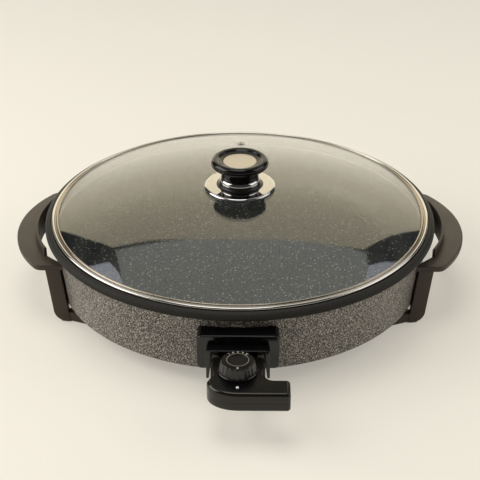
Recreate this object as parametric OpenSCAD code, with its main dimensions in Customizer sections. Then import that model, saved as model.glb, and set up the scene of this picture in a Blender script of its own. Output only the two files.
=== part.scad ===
// Electric skillet: a round cast pan on two handle-and-leg mouldings, a lift-off
// glass lid with a knob, and a plug-in thermostat controller with a dial.
// Origin: on the table under the middle of the whole appliance. +X right, +Y back, +Z up.
// The controller plugs in at the front, on the -Y side. Each module below is drawn about
// the pan's axis, and placed() moves it back from there.

/* [Pan] */
// Diameter of the rim flange
flange_d = 420; // [400:1:440]
// Height of the top of the flange above the table
flange_top = 90; // [88:1:110]
// Height of the flange band
flange_h = 8; // [7:0.5:9]
// Width of the flange outside the pan wall
flange_w = 6.5; // [5:0.5:9]
// Thickness of the pan wall
wall_t = 3.6; // [3:0.1:4]
// Lean of the pan wall, in degrees from upright
wall_draft = 5.9; // [3:0.1:8]
// Height of the cooking surface above the table
floor_top = 24; // [22:0.5:28]
// Thickness of the pan floor
floor_t = 4.5; // [4:0.1:6]
// Radius between the cooking surface and the wall
floor_fillet = 28; // [15:1:32]
// Height of the outer bottom edge of the pan above the table
pan_base = 16; // [15:0.5:17]
// Depth of the step that the lid rests on
seat_depth = 3.4; // [2:0.1:4]

/* [Lid] */
// Width of the pan flange left outside the lid
lid_ledge = 7.2; // [6:0.1:8]
// Gap between the lid rim and the step around it
lid_gap = 0.9; // [0.5:0.1:1.5]
// Thickness of the glass
glass_t = 4; // [3:0.1:4.2]
// Rise of the glass dome from its edge to its middle
dome_rise = 29.5; // [15:0.5:40]
// Width of the rolled steel rim
rim_w = 5.2; // [4.8:0.1:6]
// Height of the rolled steel rim
rim_h = 5.5; // [5.4:0.1:6.5]
// Height of the skirt that centres the lid inside the pan
skirt_h = 12.5; // [6:0.5:16]
// Distance of the steam vent from the middle of the lid
vent_reach = 134.5; // [120:0.5:170]
// Diameter of the steam vent's hole
vent_d = 4; // [3:0.5:5]

/* [Knob] */
// Diameter of the metal plate under the knob
plate_d = 76; // [60:1:84]
// Diameter of the collar on the plate
collar_d = 43; // [43:0.5:50]
// Height of the collar on the plate
collar_h = 8.6; // [6:0.2:10]
// Diameter of the knob's neck
neck_d = 40; // [34:0.5:40]
// Diameter of the knob's cap
knob_d = 61.4; // [54:0.2:66]
// Height of the knob above the plate
knob_h = 30.2; // [27.6:0.2:34]
// Diameter of the metal disc in the knob's top
disc_d = 35.6; // [26:0.2:38]

/* [Handles] */
// Gap between the flange and the finger guard
guard_gap = 8.7; // [6:0.1:14]
// Radius of the finger guard in plan
guard_arc = 126.5; // [110:0.5:140]
// Thickness of the finger guard
guard_t = 2.8; // [2:0.1:4]
// Depth of the finger guard under the grip
guard_drop = 12; // [6:0.5:16]
// Rise of the finger guard above the grip
guard_rise = 9.5; // [4:0.5:10]
// Width of the grip at its middle, guard included
grip_w = 23.4; // [18:0.1:30]
// Radius of the grip's outer edge in plan
grip_arc = 129.6; // [115:0.1:150]
// Thickness of the grip
grip_t = 7; // [5:0.5:10]
// Height of the grip's top above the table
grip_top = 69; // [64:0.5:69.5]
// Distance of each leg's outer face from the middle of the handle
leg_reach = 83.5; // [75:0.5:90]
// Thickness of a leg, measured along Y
leg_t = 9.5; // [7:0.5:11]
// Width of a leg
leg_w = 15.8; // [12:0.2:20]
// Gap between a leg and the pan wall
leg_gap = 3; // [2:0.1:5]
// Height of the foot under the pan
foot_h = 11; // [9:0.5:12]

/* [Heating] */
// Radius of the heating ring
ring_r = 115; // [90:1:140]
// Diameter of the heating element's sheath
sheath_d = 8; // [7.6:0.1:8.6]
// Height of the heating ring's centre above the table
ring_z = 14; // [13.5:0.1:15]
// Distance of each terminal pin from the middle
pin_reach = 13; // [12.5:0.1:13.5]
// Diameter of a terminal pin
pin_d = 4.4; // [4:0.1:4.8]
// Height of the pins and the probe above the table
socket_z = 46; // [45.5:0.1:46.5]
// Length of a pin beyond its boss
pin_l = 23; // [20:0.5:24]

/* [Socket] */
// Width of the socket's base
base_w = 77; // [76:0.5:84]
// Height of the lower edge of the socket's base
base_low = 34; // [33:0.5:35]
// Height of the upper edge of the socket's base
base_high = 71; // [69:0.5:73]
// Wall of the socket's base
base_wall = 3; // [2.5:0.1:3.5]
// Width of the hood over the socket
hood_w = 60.8; // [60:0.2:62]
// Height of the top of the hood
hood_high = 61.5; // [61.5:0.1:63]
// Height of the lower ends of the hood's cheeks
hood_low = 30; // [26:0.5:32]
// Length of the hood
hood_l = 11; // [8:0.5:12]

/* [Controller] */
// Half width of the controller's neck
neck_half = 25.7; // [25.5:0.1:26.5]
// Height of the controller's underside above the table
case_low = 38.8; // [38.4:0.1:39]
// Height of the controller's top above the table
case_high = 58; // [58:0.1:59]
// Height of the joint between the two shells
case_split = 47.5; // [47:0.1:48]
// Wall of the shells
case_wall = 2; // [1.6:0.1:2.2]
// Length of the controller from its rear face to its front face
case_l = 62; // [61:0.5:66]
// Reach of the arm that the cord leaves, from the middle
arm_reach = 48.5; // [46:0.5:60]
// Width of the arm
arm_w = 22; // [21.5:0.1:23]
// Diameter of the cord's hole
cord_d = 7.2; // [6:0.1:7.6]
// Diameter of the thermostat probe
probe_d = 6.4; // [6:0.1:6.8]
// Diameter of the pilot light's lens
lens_d = 3; // [2.6:0.1:4]

/* [Dial] */
// Distance of the dial from the controller's rear face
dial_back = 26; // [25.5:0.1:26.5]
// Diameter of the dial at its foot
dial_foot_d = 36; // [34:0.5:37]
// Diameter of the dial at its top
dial_top_d = 30; // [26:0.5:31]
// Height of the dial
dial_h = 12.2; // [10:0.2:15]
// Number of finger flutes around the dial
flutes = 18; // [12:1:24]

/* [Hidden] */
$fn = 96;

// Clearances
slip = 0.3;     // between pieces that move past each other
seat = 0.1;     // between pieces that are fastened together
running = 0.05; // radial, a shaft in its bore
eps = 1;        // how far a cutter runs past a face

// Colours
c_cast = "#77746c";
c_bakelite = "#2b2826";
c_grip = "#5d544c";
c_steel = "#c9cacc";
c_chrome = "#dcdcdc";
c_brass = "#c8a45a";
c_ceramic = "#e8e2d4";
c_rubber = "#4a4a4c";

// Points of an arc about [cx, cy], from angle a0 to angle a1
function arc(cx, cy, r, a0, a1, n = 8) =
    [for (i = [0:n]) let (a = a0 + (a1 - a0) * i / n) [cx + r * cos(a), cy + r * sin(a)]];

// Outline of a rectangle from [x0, y0] to [x1, y1] with round corners
function round_box(x0, y0, x1, y1, r) = concat(
    arc(x0 + r, y0 + r, r, 180, 270), arc(x1 - r, y0 + r, r, 270, 360),
    arc(x1 - r, y1 - r, r, 0, 90), arc(x0 + r, y1 - r, r, 90, 180));

module turned(points) { rotate_extrude($fn = 200) polygon(points); }
// A round bar along -Y from distance y0 to distance y1 in front of the middle
module bar(x, z, r, y0, y1) { translate([x, -y0, z]) rotate([90, 0, 0]) cylinder(r = r, h = y1 - y0); }
module block(x0, x1, y0, y1, z0, z1) { translate([x0, y0, z0]) cube([x1 - x0, y1 - y0, z1 - z0]); }
module both_sides() {
    children();
    mirror([1, 0, 0]) children();
}

// ---- pan ----
flange_r = flange_d / 2;
flange_low = flange_top - flange_h;
flange_edge = 1.5;
flange_land = 0.3;
// Radius of the flange's shoulder, from its outer face to the land around the lid
shoulder_r = min(flange_h - flange_edge - 0.5, lid_ledge - lid_gap - flange_land);
wall_top_r = flange_r - flange_w;
lid_step_r = flange_r - lid_ledge + lid_gap;
seat_z = flange_top - seat_depth;
floor_low = floor_top - floor_t;
base_corner = 5;
base_ring_w = 9;
// Outer radius of the wall at height z, and its inner radius
function wall_r(z) = wall_top_r - (flange_low - z) * tan(wall_draft);
function bore_r(z) = wall_r(z) - wall_t;
// Distance in X from the middle to the wall, at height z and at distance y from the middle
function wall_x(z, y) = sqrt(pow(wall_r(z), 2) - y * y);
fillet_z = floor_top + floor_fillet;
fillet_x = bore_r(fillet_z) - floor_fillet / cos(wall_draft);

// ---- socket ----
boss_depth = 15;
boss_y = wall_r(socket_z) + boss_depth;
boss_half = 27;
boss_high = 59;
riser_half = 20.5;
face_y = boss_y + base_wall;
hood_cheek = 4;
hood_roof = 2;
hood_y = face_y + hood_l;
rib_half = 7.5;
end_way_gap = 1;
end_way_r = sheath_d / 2 + end_way_gap;
rib_skin = 1.5;
rib_low = ring_z - end_way_r - rib_skin;
socket_screw_x = 22;
socket_screw_z = 54;
socket_screw_l = 9;
screw_r = 1.6;
screw_head_r = 3;
screw_head_h = 2.2;
slot_half = 0.4;
probe_hole_r = probe_d / 2 + slip;
probe_floor = 3;
probe_end_y = bore_r(socket_z) + probe_floor;
bead_socket_r = 3.1;
bead_socket_l = 4.5;
bead_r = 4.2;
bead_proud = 1.5;
bead_out = base_wall + bead_proud;

// ---- feet ----
foot_screw_in = 11;
foot_screw_x = wall_x(pan_base, leg_reach) - foot_screw_in;
foot_screw_y = leg_reach - leg_t / 2;
foot_boss_r = 6.5;
foot_screw_r = 2;
foot_head_r = 3.8;
foot_head_h = 2.6;
foot_head_z = 1.2;
foot_screw_bite = 1;
foot_screw_top = floor_low + foot_screw_bite;
module at_feet() {
    for (sx = [-1, 1])
        for (sy = [-1, 1]) translate([sx * foot_screw_x, sy * foot_screw_y, 0]) children();
}

// ---- heating element ----
// One ring under the floor. Its two ends run to the front, rise beside the wall and turn out.
plan_bend = 12;
turn_bend = 6;
bend_x = pin_reach + plan_bend;
bend_y = sqrt(pow(ring_r + plan_bend, 2) - bend_x * bend_x);
ring_gap = asin(bend_x / (ring_r + plan_bend));
bead_land = 0.5;
rise_y = boss_y - turn_bend - bead_socket_l - bead_land;
swell = 0.05;   // how much the sheath swells in its bends
lap = 0.1;      // how far a straight stretch runs into a bend

// A quarter bend in the YZ plane about [x, y, z], from angle a0, where 0 is +Y and 90 is +Z
module upright_bend(x, y, z, bend, r, a0) {
    translate([x, y, z]) rotate([90, 0, 90]) rotate([0, 0, a0])
        rotate_extrude(angle = 90) translate([bend, 0]) circle(r = r);
}
// The ring with its two bends in plan
module sheath_ring(r) {
    lap_a = asin(lap / ring_r);
    translate([0, 0, ring_z]) rotate([0, 0, ring_gap - lap_a - 90])
        rotate_extrude(angle = 360 - 2 * (ring_gap - lap_a)) translate([ring_r, 0]) circle(r = r);
    both_sides() translate([bend_x, -bend_y, ring_z]) rotate([0, 0, 90 + ring_gap])
        rotate_extrude(angle = 90 - ring_gap) translate([plan_bend, 0]) circle(r = r + swell);
}
// The two ends, from the bends in plan to the boss's face
module sheath_ends(r) {
    both_sides() {
        bar(pin_reach, ring_z, r, bend_y - lap, rise_y - turn_bend + lap);
        upright_bend(pin_reach, turn_bend - rise_y, ring_z + turn_bend, turn_bend, r + swell, 180);
        translate([pin_reach, -rise_y, ring_z + turn_bend - lap])
            cylinder(r = r, h = socket_z - ring_z - 2 * turn_bend + 2 * lap);
        upright_bend(pin_reach, -rise_y - turn_bend, socket_z - turn_bend, turn_bend, r + swell, 0);
        bar(pin_reach, socket_z, r, rise_y + turn_bend - lap, boss_y);
    }
}

module pan_form() {
    base_x = wall_r(pan_base + base_corner) - base_corner;
    turned(concat(
        [[0, floor_low], [base_x + base_corner - base_ring_w, floor_low],
         [base_x + base_corner - base_ring_w, pan_base]],
        arc(base_x, pan_base + base_corner, base_corner, -90, 0),
        [[wall_r(flange_low), flange_low]],
        arc(flange_r - flange_edge, flange_low + flange_edge, flange_edge, -90, 0, 4),
        arc(flange_r - shoulder_r, flange_top - shoulder_r, shoulder_r, 0, 90, 8),
        [[0, flange_top]]));
    // Rib around the heating ring
    turned([[ring_r - rib_half, rib_low], [ring_r + rib_half, rib_low],
            [ring_r + rib_half, floor_low + eps], [ring_r - rib_half, floor_low + eps]]);
    // Rib and riser around the element's two ends, and the boss behind the socket
    block(-riser_half, riser_half, -boss_y, -ring_r, rib_low, floor_low + eps);
    block(-riser_half, riser_half, -boss_y, -wall_r(pan_base) + wall_t, rib_low, boss_high);
    block(-boss_half, boss_half, -boss_y, -wall_r(pan_base) + wall_t,
          base_low + base_wall + slip, boss_high);
    at_feet() translate([0, 0, foot_h + seat]) cylinder(r = foot_boss_r, h = floor_low - foot_h);
}
module pan() {
    color(c_cast) difference() {
        pan_form();
        turned(concat([[0, floor_top]],
            arc(fillet_x, fillet_z, floor_fillet, -90, -wall_draft, 12),
            [[bore_r(seat_z), seat_z], [lid_step_r, seat_z],
             [lid_step_r, flange_top + eps], [0, flange_top + eps]]));
        sheath_ring(sheath_d / 2 + running);
        // Drilled ways for the two ends, with room for their turns
        both_sides() {
            bar(pin_reach, ring_z, end_way_r, bend_y - lap, rise_y + end_way_r);
            translate([pin_reach, -rise_y, ring_z]) cylinder(r = end_way_r + 0.2, h = socket_z - ring_z);
            bar(pin_reach, socket_z, end_way_r, rise_y - end_way_r, boss_y + eps);
        }
        bar(0, socket_z, probe_hole_r, probe_end_y, boss_y + eps);
        for (x = [-socket_screw_x, socket_screw_x])
            bar(x, socket_screw_z, screw_r + running, boss_y - socket_screw_l, boss_y + eps);
        at_feet() cylinder(r = foot_screw_r + running, h = foot_screw_top + seat);
    }
}

module heating_element() {
    color(c_steel) difference() {
        union() {
            sheath_ring(sheath_d / 2);
            sheath_ends(sheath_d / 2);
        }
        both_sides() bar(pin_reach, socket_z, bead_socket_r + running, boss_y - bead_socket_l, boss_y + eps);
    }
}

module terminal_pins() {
    tip = 1.2;
    color(c_chrome) both_sides() translate([pin_reach, -boss_y + bead_socket_l - seat, socket_z])
        rotate([90, 0, 0]) rotate_extrude() polygon(concat([[0, 0], [pin_d / 2, 0]],
            arc(pin_d / 2 - tip, pin_l + bead_socket_l - tip, tip, 0, 90, 4), [[0, pin_l + bead_socket_l]]));
}

module terminal_beads() {
    color(c_ceramic) both_sides() difference() {
        union() {
            bar(pin_reach, socket_z, bead_socket_r, boss_y - bead_socket_l + seat, boss_y + eps);
            bar(pin_reach, socket_z, bead_r, boss_y + seat, boss_y + bead_out);
        }
        bar(pin_reach, socket_z, pin_d / 2 + running, boss_y - bead_socket_l, boss_y + bead_out + eps);
    }
}

module socket_shroud() {
    corner = 5;
    hood_corner = 3;
    cheek_end = 1.2;
    half = hood_w / 2;
    color(c_bakelite) difference() {
        union() {
            translate([0, -wall_r(pan_base) + corner, 0]) rotate([90, 0, 0])
                linear_extrude(face_y - wall_r(pan_base) + corner)
                    polygon(round_box(-base_w / 2, base_low, base_w / 2, base_high, corner));
            translate([0, eps - face_y, 0]) rotate([90, 0, 0])
                linear_extrude(hood_l + eps) difference() {
                    polygon(concat(arc(half - hood_corner, hood_high - hood_corner, hood_corner, 0, 90),
                        arc(hood_corner - half, hood_high - hood_corner, hood_corner, 90, 180),
                        arc(cheek_end - half, hood_low + cheek_end, cheek_end, 180, 270, 4),
                        arc(half - cheek_end, hood_low + cheek_end, cheek_end, 270, 360, 4)));
                    translate([hood_cheek - half, hood_low - eps])
                        square([hood_w - 2 * hood_cheek, hood_high - hood_roof - hood_low + eps]);
                }
        }
        // The pan wall, the room around the boss, and the way in for the riser
        translate([0, 0, base_low - eps])
            cylinder(r1 = wall_r(base_low - eps) + seat, r2 = wall_r(base_high + eps) + seat,
                     h = base_high - base_low + 2 * eps, $fn = 240);
        block(base_wall - base_w / 2, base_w / 2 - base_wall, -boss_y - seat, 0,
              base_low + base_wall, base_high - base_wall);
        block(-riser_half - slip, riser_half + slip, -boss_y - seat, 0,
              base_low - eps, base_high - base_wall);
        both_sides() bar(pin_reach, socket_z, bead_r + seat, boss_y - eps, face_y + eps);
        both_sides() bar(socket_screw_x, socket_screw_z, screw_r + seat, boss_y - eps, face_y + eps);
        bar(0, socket_z, probe_hole_r + slip, boss_y - eps, face_y + eps);
    }
}

module shroud_screws() {
    color(c_steel) both_sides() difference() {
        union() {
            bar(socket_screw_x, socket_screw_z, screw_r, boss_y - socket_screw_l + seat, face_y + eps);
            bar(socket_screw_x, socket_screw_z, screw_head_r, face_y + running, face_y + screw_head_h);
        }
        block(socket_screw_x - screw_head_r + 1, socket_screw_x + screw_head_r - 1,
              -face_y - screw_head_h - eps, -face_y - screw_head_h / 2,
              socket_screw_z - slot_half, socket_screw_z + slot_half);
    }
}

// ---- handles ----
guard_x = flange_r + guard_gap - guard_arc;
grip_x = flange_r + guard_gap + grip_w - grip_arc;
grip_low = grip_top - grip_t;
grip_corner = 12;
corner_x = grip_x + sqrt(pow(grip_arc - grip_corner, 2) - pow(leg_reach - grip_corner, 2));
corner_a = asin((leg_reach - grip_corner) / (grip_arc - grip_corner));
guard_short = 21.5;
guard_reach = leg_reach - guard_short;
guard_a = asin(guard_reach / guard_arc);
bearing = 7.5;
leg_corner = 15;
foot_flare = 6.5;
foot_wide = 12;
foot_in = 3;
leg_toe = 2;
leg_clear_z = pan_base - 2;
// Inner edge of a leg at height z
function leg_in(z) = wall_x(z, leg_reach) + leg_gap;

module leg() {
    difference() {
        translate([0, -leg_reach + leg_t, 0]) rotate([90, 0, 0]) linear_extrude(leg_t)
            polygon(concat(
                [[leg_in(grip_low), grip_low + eps], [leg_in(foot_h), foot_h], [leg_in(foot_h) - leg_toe, 0]],
                arc(leg_in(leg_corner) + leg_w - leg_corner, leg_corner, leg_corner, -90, 0),
                [[leg_in(grip_low) + leg_w, grip_low + eps]]));
        // The leg's inner side follows the round wall
        translate([0, 0, leg_clear_z]) cylinder(r1 = wall_r(leg_clear_z) + leg_gap / 2,
            r2 = wall_r(grip_low + 2 * eps) + leg_gap / 2, h = grip_low + 2 * eps - leg_clear_z, $fn = 240);
    }
    linear_extrude(foot_h) polygon([
        [leg_in(foot_h) + leg_w / 2, -leg_reach + leg_t], [leg_in(foot_h) + leg_w / 2, -leg_reach],
        [leg_in(foot_h) - foot_in, -leg_reach], [foot_screw_x - foot_boss_r, -leg_reach - foot_flare],
        [foot_screw_x - foot_boss_r, -leg_reach + foot_wide],
        [foot_screw_x + foot_boss_r, -leg_reach + foot_wide]]);
}
module handle() {
    color(c_grip) difference() {
        union() {
            translate([0, 0, grip_low]) linear_extrude(grip_t) polygon(concat(
                [[wall_x(grip_top, leg_reach - bearing) + slip, bearing - leg_reach],
                 [wall_x(grip_top, leg_reach) + slip, -leg_reach]],
                arc(corner_x, grip_corner - leg_reach, grip_corner, -90, -corner_a),
                arc(grip_x, 0, grip_arc, -corner_a, corner_a, 24),
                arc(corner_x, leg_reach - grip_corner, grip_corner, corner_a, 90),
                [[wall_x(grip_top, leg_reach) + slip, leg_reach],
                 [wall_x(grip_top, leg_reach - bearing) + slip, leg_reach - bearing]],
                arc(guard_x, 0, guard_arc, guard_a, -guard_a, 20)));
            translate([0, 0, grip_low - guard_drop]) linear_extrude(guard_drop + grip_t + guard_rise)
                polygon(concat(arc(guard_x, 0, guard_arc, guard_a, -guard_a, 20),
                               arc(guard_x, 0, guard_arc + guard_t, -guard_a, guard_a, 20)));
            leg();
            mirror([0, 1, 0]) leg();
        }
        at_feet() translate([0, 0, -eps]) {
            cylinder(r = foot_screw_r + seat, h = foot_h + 2 * eps);
            cylinder(r = foot_head_r + seat, h = eps + foot_head_z + foot_head_h);
        }
    }
}
module left_handle() { mirror([1, 0, 0]) handle(); }
module right_handle() { handle(); }

module handle_screws() {
    color(c_steel) at_feet() difference() {
        union() {
            translate([0, 0, foot_head_z]) cylinder(r = foot_screw_r, h = foot_screw_top - foot_head_z);
            translate([0, 0, foot_head_z]) cylinder(r = foot_head_r, h = foot_head_h - seat);
        }
        translate([-3, -0.5, 0]) cube([6, 1, foot_head_z + 1]);
    }
}

// ---- lid ----
rim_r = lid_step_r - lid_gap;
rim_low = seat_z + slip;
rim_high = rim_low + rim_h;
rim_lip = 0.9;
glass_inset = 3.4;
glass_r = rim_r - glass_inset;
dome_r = (glass_r * glass_r + dome_rise * dome_rise) / (2 * dome_rise);
dome_top = rim_high - rim_lip + dome_rise;
dome_z = dome_top - dome_r;
// Height of the glass's upper and lower face at radius r
function glass_top(r) = dome_z + sqrt(dome_r * dome_r - r * r);
function glass_low(r) = dome_z + sqrt(pow(dome_r - glass_t, 2) - r * r);
skirt_t = 0.8;
skirt_low = rim_low - skirt_h;
skirt_r = bore_r(skirt_low) - 2 * slip;
knob_hole_r = 5;
vent_tilt = asin(vent_reach / dome_r);
eyelet_wall = 0.9;
eyelet_flange = 3.3;
eyelet_t = 0.7;
module at_vent() {
    mid_r = dome_r - glass_t / 2;
    translate([0, sin(vent_tilt) * mid_r, dome_z + cos(vent_tilt) * mid_r])
        rotate([-vent_tilt, 0, 0]) children();
}

module lid_glass() {
    edge_a = acos(glass_r / dome_r);
    hole_a = acos(knob_hole_r / dome_r);
    low_edge_a = acos(glass_r / (dome_r - glass_t));
    low_hole_a = acos(knob_hole_r / (dome_r - glass_t));
    color("#b9b7a8", 0.5) difference() {
        turned(concat(arc(0, dome_z, dome_r, edge_a, hole_a, 20),
                      arc(0, dome_z, dome_r - glass_t, low_hole_a, low_edge_a, 20)));
        at_vent() cylinder(r = vent_d / 2 + eyelet_wall + seat, h = 3 * glass_t, center = true);
    }
}

module lid_rim() {
    roll = rim_h / 2;
    color(c_steel) turned(concat(
        [[skirt_r - skirt_t, skirt_low], [skirt_r, skirt_low], [skirt_r, rim_low]],
        arc(rim_r - roll, rim_low + roll, roll, -90, 90, 12),
        [[rim_r - rim_w, rim_high], [rim_r - rim_w, glass_top(rim_r - rim_w) + seat],
         [glass_r + seat, glass_top(glass_r) + seat], [glass_r + seat, glass_low(glass_r) - seat],
         [skirt_r - skirt_t, glass_low(skirt_r - skirt_t) - seat]]));
}

module vent_eyelet() {
    tube = vent_d / 2 + eyelet_wall;
    face = glass_t / 2 + running;
    color(c_steel) at_vent() rotate_extrude() polygon([
        [vent_d / 2, -face - eyelet_t], [tube + eyelet_flange - eyelet_wall, -face - eyelet_t],
        [tube + eyelet_flange - eyelet_wall, -face], [tube, -face], [tube, face],
        [tube + eyelet_flange - eyelet_wall, face], [tube + eyelet_flange - eyelet_wall, face + eyelet_t / 2],
        [tube, face + eyelet_t], [vent_d / 2, face + eyelet_t]]);
}

// ---- knob ----
gasket_t = 0.8;
gasket_r = 13;
washer_t = 1.2;
washer_r = 11;
plate_t = 1.2;
plate_low = dome_top + gasket_t + running;
plate_top = plate_low + plate_t;
plate_r = plate_d / 2;
collar_r = collar_d / 2;
cap_r = knob_d / 2;
knob_top = plate_top + knob_h;
bolt_r = 2.5;
bolt_head_r = 4.6;
bolt_head_h = 3;
bolt_rise = 12;
bolt_top = plate_top + bolt_rise;
insert_r = 4.5;
insert_h = 14;
disc_t = 0.7;
disc_r = disc_d / 2;
disc_drop = 3.4; // how far the disc lies below the knob's top
disc_low = knob_top - disc_drop - disc_t;
lip = 0.6;
low_gasket_top = glass_low(gasket_r) - running;
washer_top = low_gasket_top - gasket_t - running;
bolt_low = washer_top - washer_t - running;

module knob_plate() {
    edge = 1.4;
    edge_round = 1;
    collar_foot = 3.6;
    collar_round = 0.8;
    color(c_chrome) turned(concat(
        [[bolt_r + slip, plate_low], [plate_r - edge, plate_low],
         [plate_r - edge, glass_top(plate_r - edge) + slip], [plate_r, glass_top(plate_r - edge) + slip]],
        arc(plate_r - edge_round, plate_top - edge_round, edge_round, 0, 90, 4),
        arc(collar_r + collar_foot, plate_top + collar_foot, collar_foot, 270, 180, 6),
        arc(collar_r - collar_round, plate_top + collar_h - collar_round, collar_round, 0, 90, 5),
        [[neck_d / 2 + slip, plate_top + collar_h], [neck_d / 2 + slip, plate_top],
         [bolt_r + slip, plate_top]]));
}

module ring(r0, r1, z, h) {
    translate([0, 0, z]) difference() {
        cylinder(r = r1, h = h);
        translate([0, 0, -eps]) cylinder(r = r0, h = h + 2 * eps);
    }
}
module upper_gasket() { color(c_rubber) ring(bolt_r + slip, gasket_r, dome_top + running / 2, gasket_t); }
module lower_gasket() { color(c_rubber) ring(bolt_r + slip, gasket_r, low_gasket_top - gasket_t, gasket_t); }
module knob_washer() { color(c_steel) ring(bolt_r + seat, washer_r, washer_top - washer_t, washer_t); }

module knob_screw() {
    color(c_steel) difference() {
        union() {
            translate([0, 0, bolt_low - bolt_head_h]) cylinder(r = bolt_head_r, h = bolt_head_h);
            translate([0, 0, bolt_low - eps]) cylinder(r = bolt_r, h = bolt_top - bolt_low + eps);
        }
        for (a = [0, 90]) rotate([0, 0, a])
            translate([-3, -0.5, bolt_low - bolt_head_h - eps]) cube([6, 1, 1.6 + eps]);
    }
}

module knob() {
    neck_r = neck_d / 2;
    waist_drop = 13.6;  // from the knob's top to the foot of the hollow under the cap
    hollow_r = 3.6;
    side_r = 4.8;       // radius of the cap's thick round ring
    ring_from = -80;
    ring_to = 140;
    dish_rise = 0.3;    // how far the dish's inner edge stands above the disc
    ring_in = disc_r + lip;
    ring_mid = cap_r - side_r;
    dish_out = ring_mid + side_r * cos(ring_to);
    dish_low = disc_low + disc_t + dish_rise;
    dish_h = knob_top - side_r + side_r * sin(ring_to) - dish_low;
    color(c_bakelite) turned(concat(
        [[insert_r + running, plate_top + running], [neck_r, plate_top + running]],
        // Hollow under the cap, then the cap's round ring and the dish around the disc
        arc(neck_r + hollow_r, knob_top - waist_drop, hollow_r, 180, 90, 6),
        arc(ring_mid, knob_top - side_r, side_r, ring_from, ring_to, 20),
        [[(ring_in + 2 * dish_out) / 3, dish_low + dish_h * 0.45],
         [(2 * ring_in + dish_out) / 3, dish_low + dish_h * 0.14], [ring_in, dish_low],
         [ring_in, disc_low + disc_t], [disc_r + seat, disc_low + disc_t], [disc_r + seat, disc_low],
         [0, disc_low], [0, plate_top + insert_h + seat],
         [insert_r + running, plate_top + insert_h + seat]]));
}
module knob_insert() { color(c_brass) ring(bolt_r + running, insert_r, plate_top + seat, insert_h); }
module knob_disc() {
    color("#cfc6b4") translate([0, 0, disc_low + running]) cylinder(r = disc_r, h = disc_t + running);
}

// ---- controller ----
// Sizes from here on are measured from the middle of the controller's rear face.
case_gap = 2;
case_back = hood_y + case_gap;
module at_case() { translate([0, -case_back, 0]) children(); }
// How far the pan's axis lies behind the middle of the whole appliance
pan_y = (case_back + case_l - flange_r) / 2;
module placed() { translate([0, pan_y, 0]) children(); }
case_r = 6;
left_swell = 2.8;
left_draw = 2.2;
right_draw = 1.2;
case_left = neck_half + left_swell;
neck_left = neck_half - left_draw;
neck_right = neck_half - right_draw;
flare_back = 33;
flare_r = 8;
bulge_r = 3;
arm_corner = 2.6;
flare_x = neck_left + flare_r * (1 - cos(45));
bulge_x = case_left - bulge_r * (1 - cos(45));
bulge_y = flare_back + flare_r * sin(45) + (bulge_x - flare_x) + bulge_r * sin(45);
front_corner = case_l - bulge_y;
arm_back = case_l - arm_w;
arm_y = case_l - arm_w / 2;
arm_z = (case_low + case_high) / 2;
roof = case_high - case_wall;
deck = case_low + case_wall;

// Outline of the case in plan, drawn in by d
function case_outline(d) = concat(
    arc(neck_half - case_r, -case_r, case_r - d, 0, 90),
    arc(case_r - neck_half, -case_r, case_r - d, 90, 180),
    arc(-neck_left - flare_r, -flare_back, flare_r + d, 0, -45, 5),
    arc(bulge_r - case_left, -bulge_y, bulge_r - d, 135, 180, 4),
    arc(front_corner - case_left, -bulge_y, front_corner - d, 180, 270, 14),
    arc(arm_reach - arm_corner, arm_corner - case_l, arm_corner - d, 270, 360, 4),
    arc(arm_reach - arm_corner, -arm_back - arm_corner, arm_corner - d, 0, 90, 4),
    arc(neck_right + flare_r, flare_r - arm_back, flare_r + d, 270, 180, 6));

// Screws that hold the shells together
screw_inset = 5;
screw_back = flare_back - 3;
corner_inset = 11.5;
arm_screw_x = 22;
arm_screw_in = 4.9;
case_screws = [[neck_left - screw_inset, -screw_back], [screw_inset - neck_left, -screw_back],
               [corner_inset - case_left, -arm_y], [arm_screw_x, arm_screw_in - case_l]];
case_boss_r = 2.8;
case_screw_r = 1.3;
case_head_r = 2.3;
case_head_h = 1.8;
case_screw_skin = 2;
case_screw_top = roof - case_screw_skin;
module at_case_screws() { for (p = case_screws) translate([p[0], p[1], 0]) children(); }

// Receptacle block that closes the rear face
nose_half = 18.5;
nose_under = 5;
nose_over = 5.7;
nose_low = socket_z - nose_under;
nose_high = socket_z + nose_over;
nose_gap = 0.7;
nose_out = case_back - face_y - bead_out + base_wall - nose_gap;
nose_in = 8;
nose_rib = 20.5;
nose_rib_up = 1.5;
nose_rib_t = 2;
receptacle_r = 3.6;
receptacle_in = 0.5;
receptacle_past = 2;

// Thermostat
frame_t = 1.2;
frame_half = 8.5;
frame_gap = 2;
frame_y = nose_in + frame_gap;
frame_z = deck + seat;
bridge_drop = 1.8;
bridge_z = roof - bridge_drop - frame_t;
bridge_past = 6;
bridge_l = dial_back + bridge_past;
stack_past = 11;
stack_y = dial_back + stack_past;
stack_l = 8;
spacer_side = 1;
top_spacer_h = 1.2;
leaf_half = 3;
leaf_t = 0.4;
arm_t = 0.6;
leaf_rise = 2;
lower_leaf_z = socket_z + leaf_rise;
contact_gap = 0.6;
contact_h = 0.5;
contact_r = 1.5;
contact_past = 6;
contact_y = dial_back - contact_past;
tip_past = 2.5;
arm_leaf_z = lower_leaf_z + leaf_t + contact_gap + 2 * contact_h;
rivet_r = 1.2;
strip_t = 0.8;
strip_half = 1.5;
post_past = 8;
post_y = dial_back - post_past;
post_r = 0.9;
strip_past = 2;
leaf_past = 1.5;
bushing_r = 3.6;
spindle_r = 2.5;
plunger_r = 1.5;
plunger_tip_r = 0.8;
plunger_shoulder = 0.8;
thread_h = 1.6;
spindle_low = bridge_z + thread_h;
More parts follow.
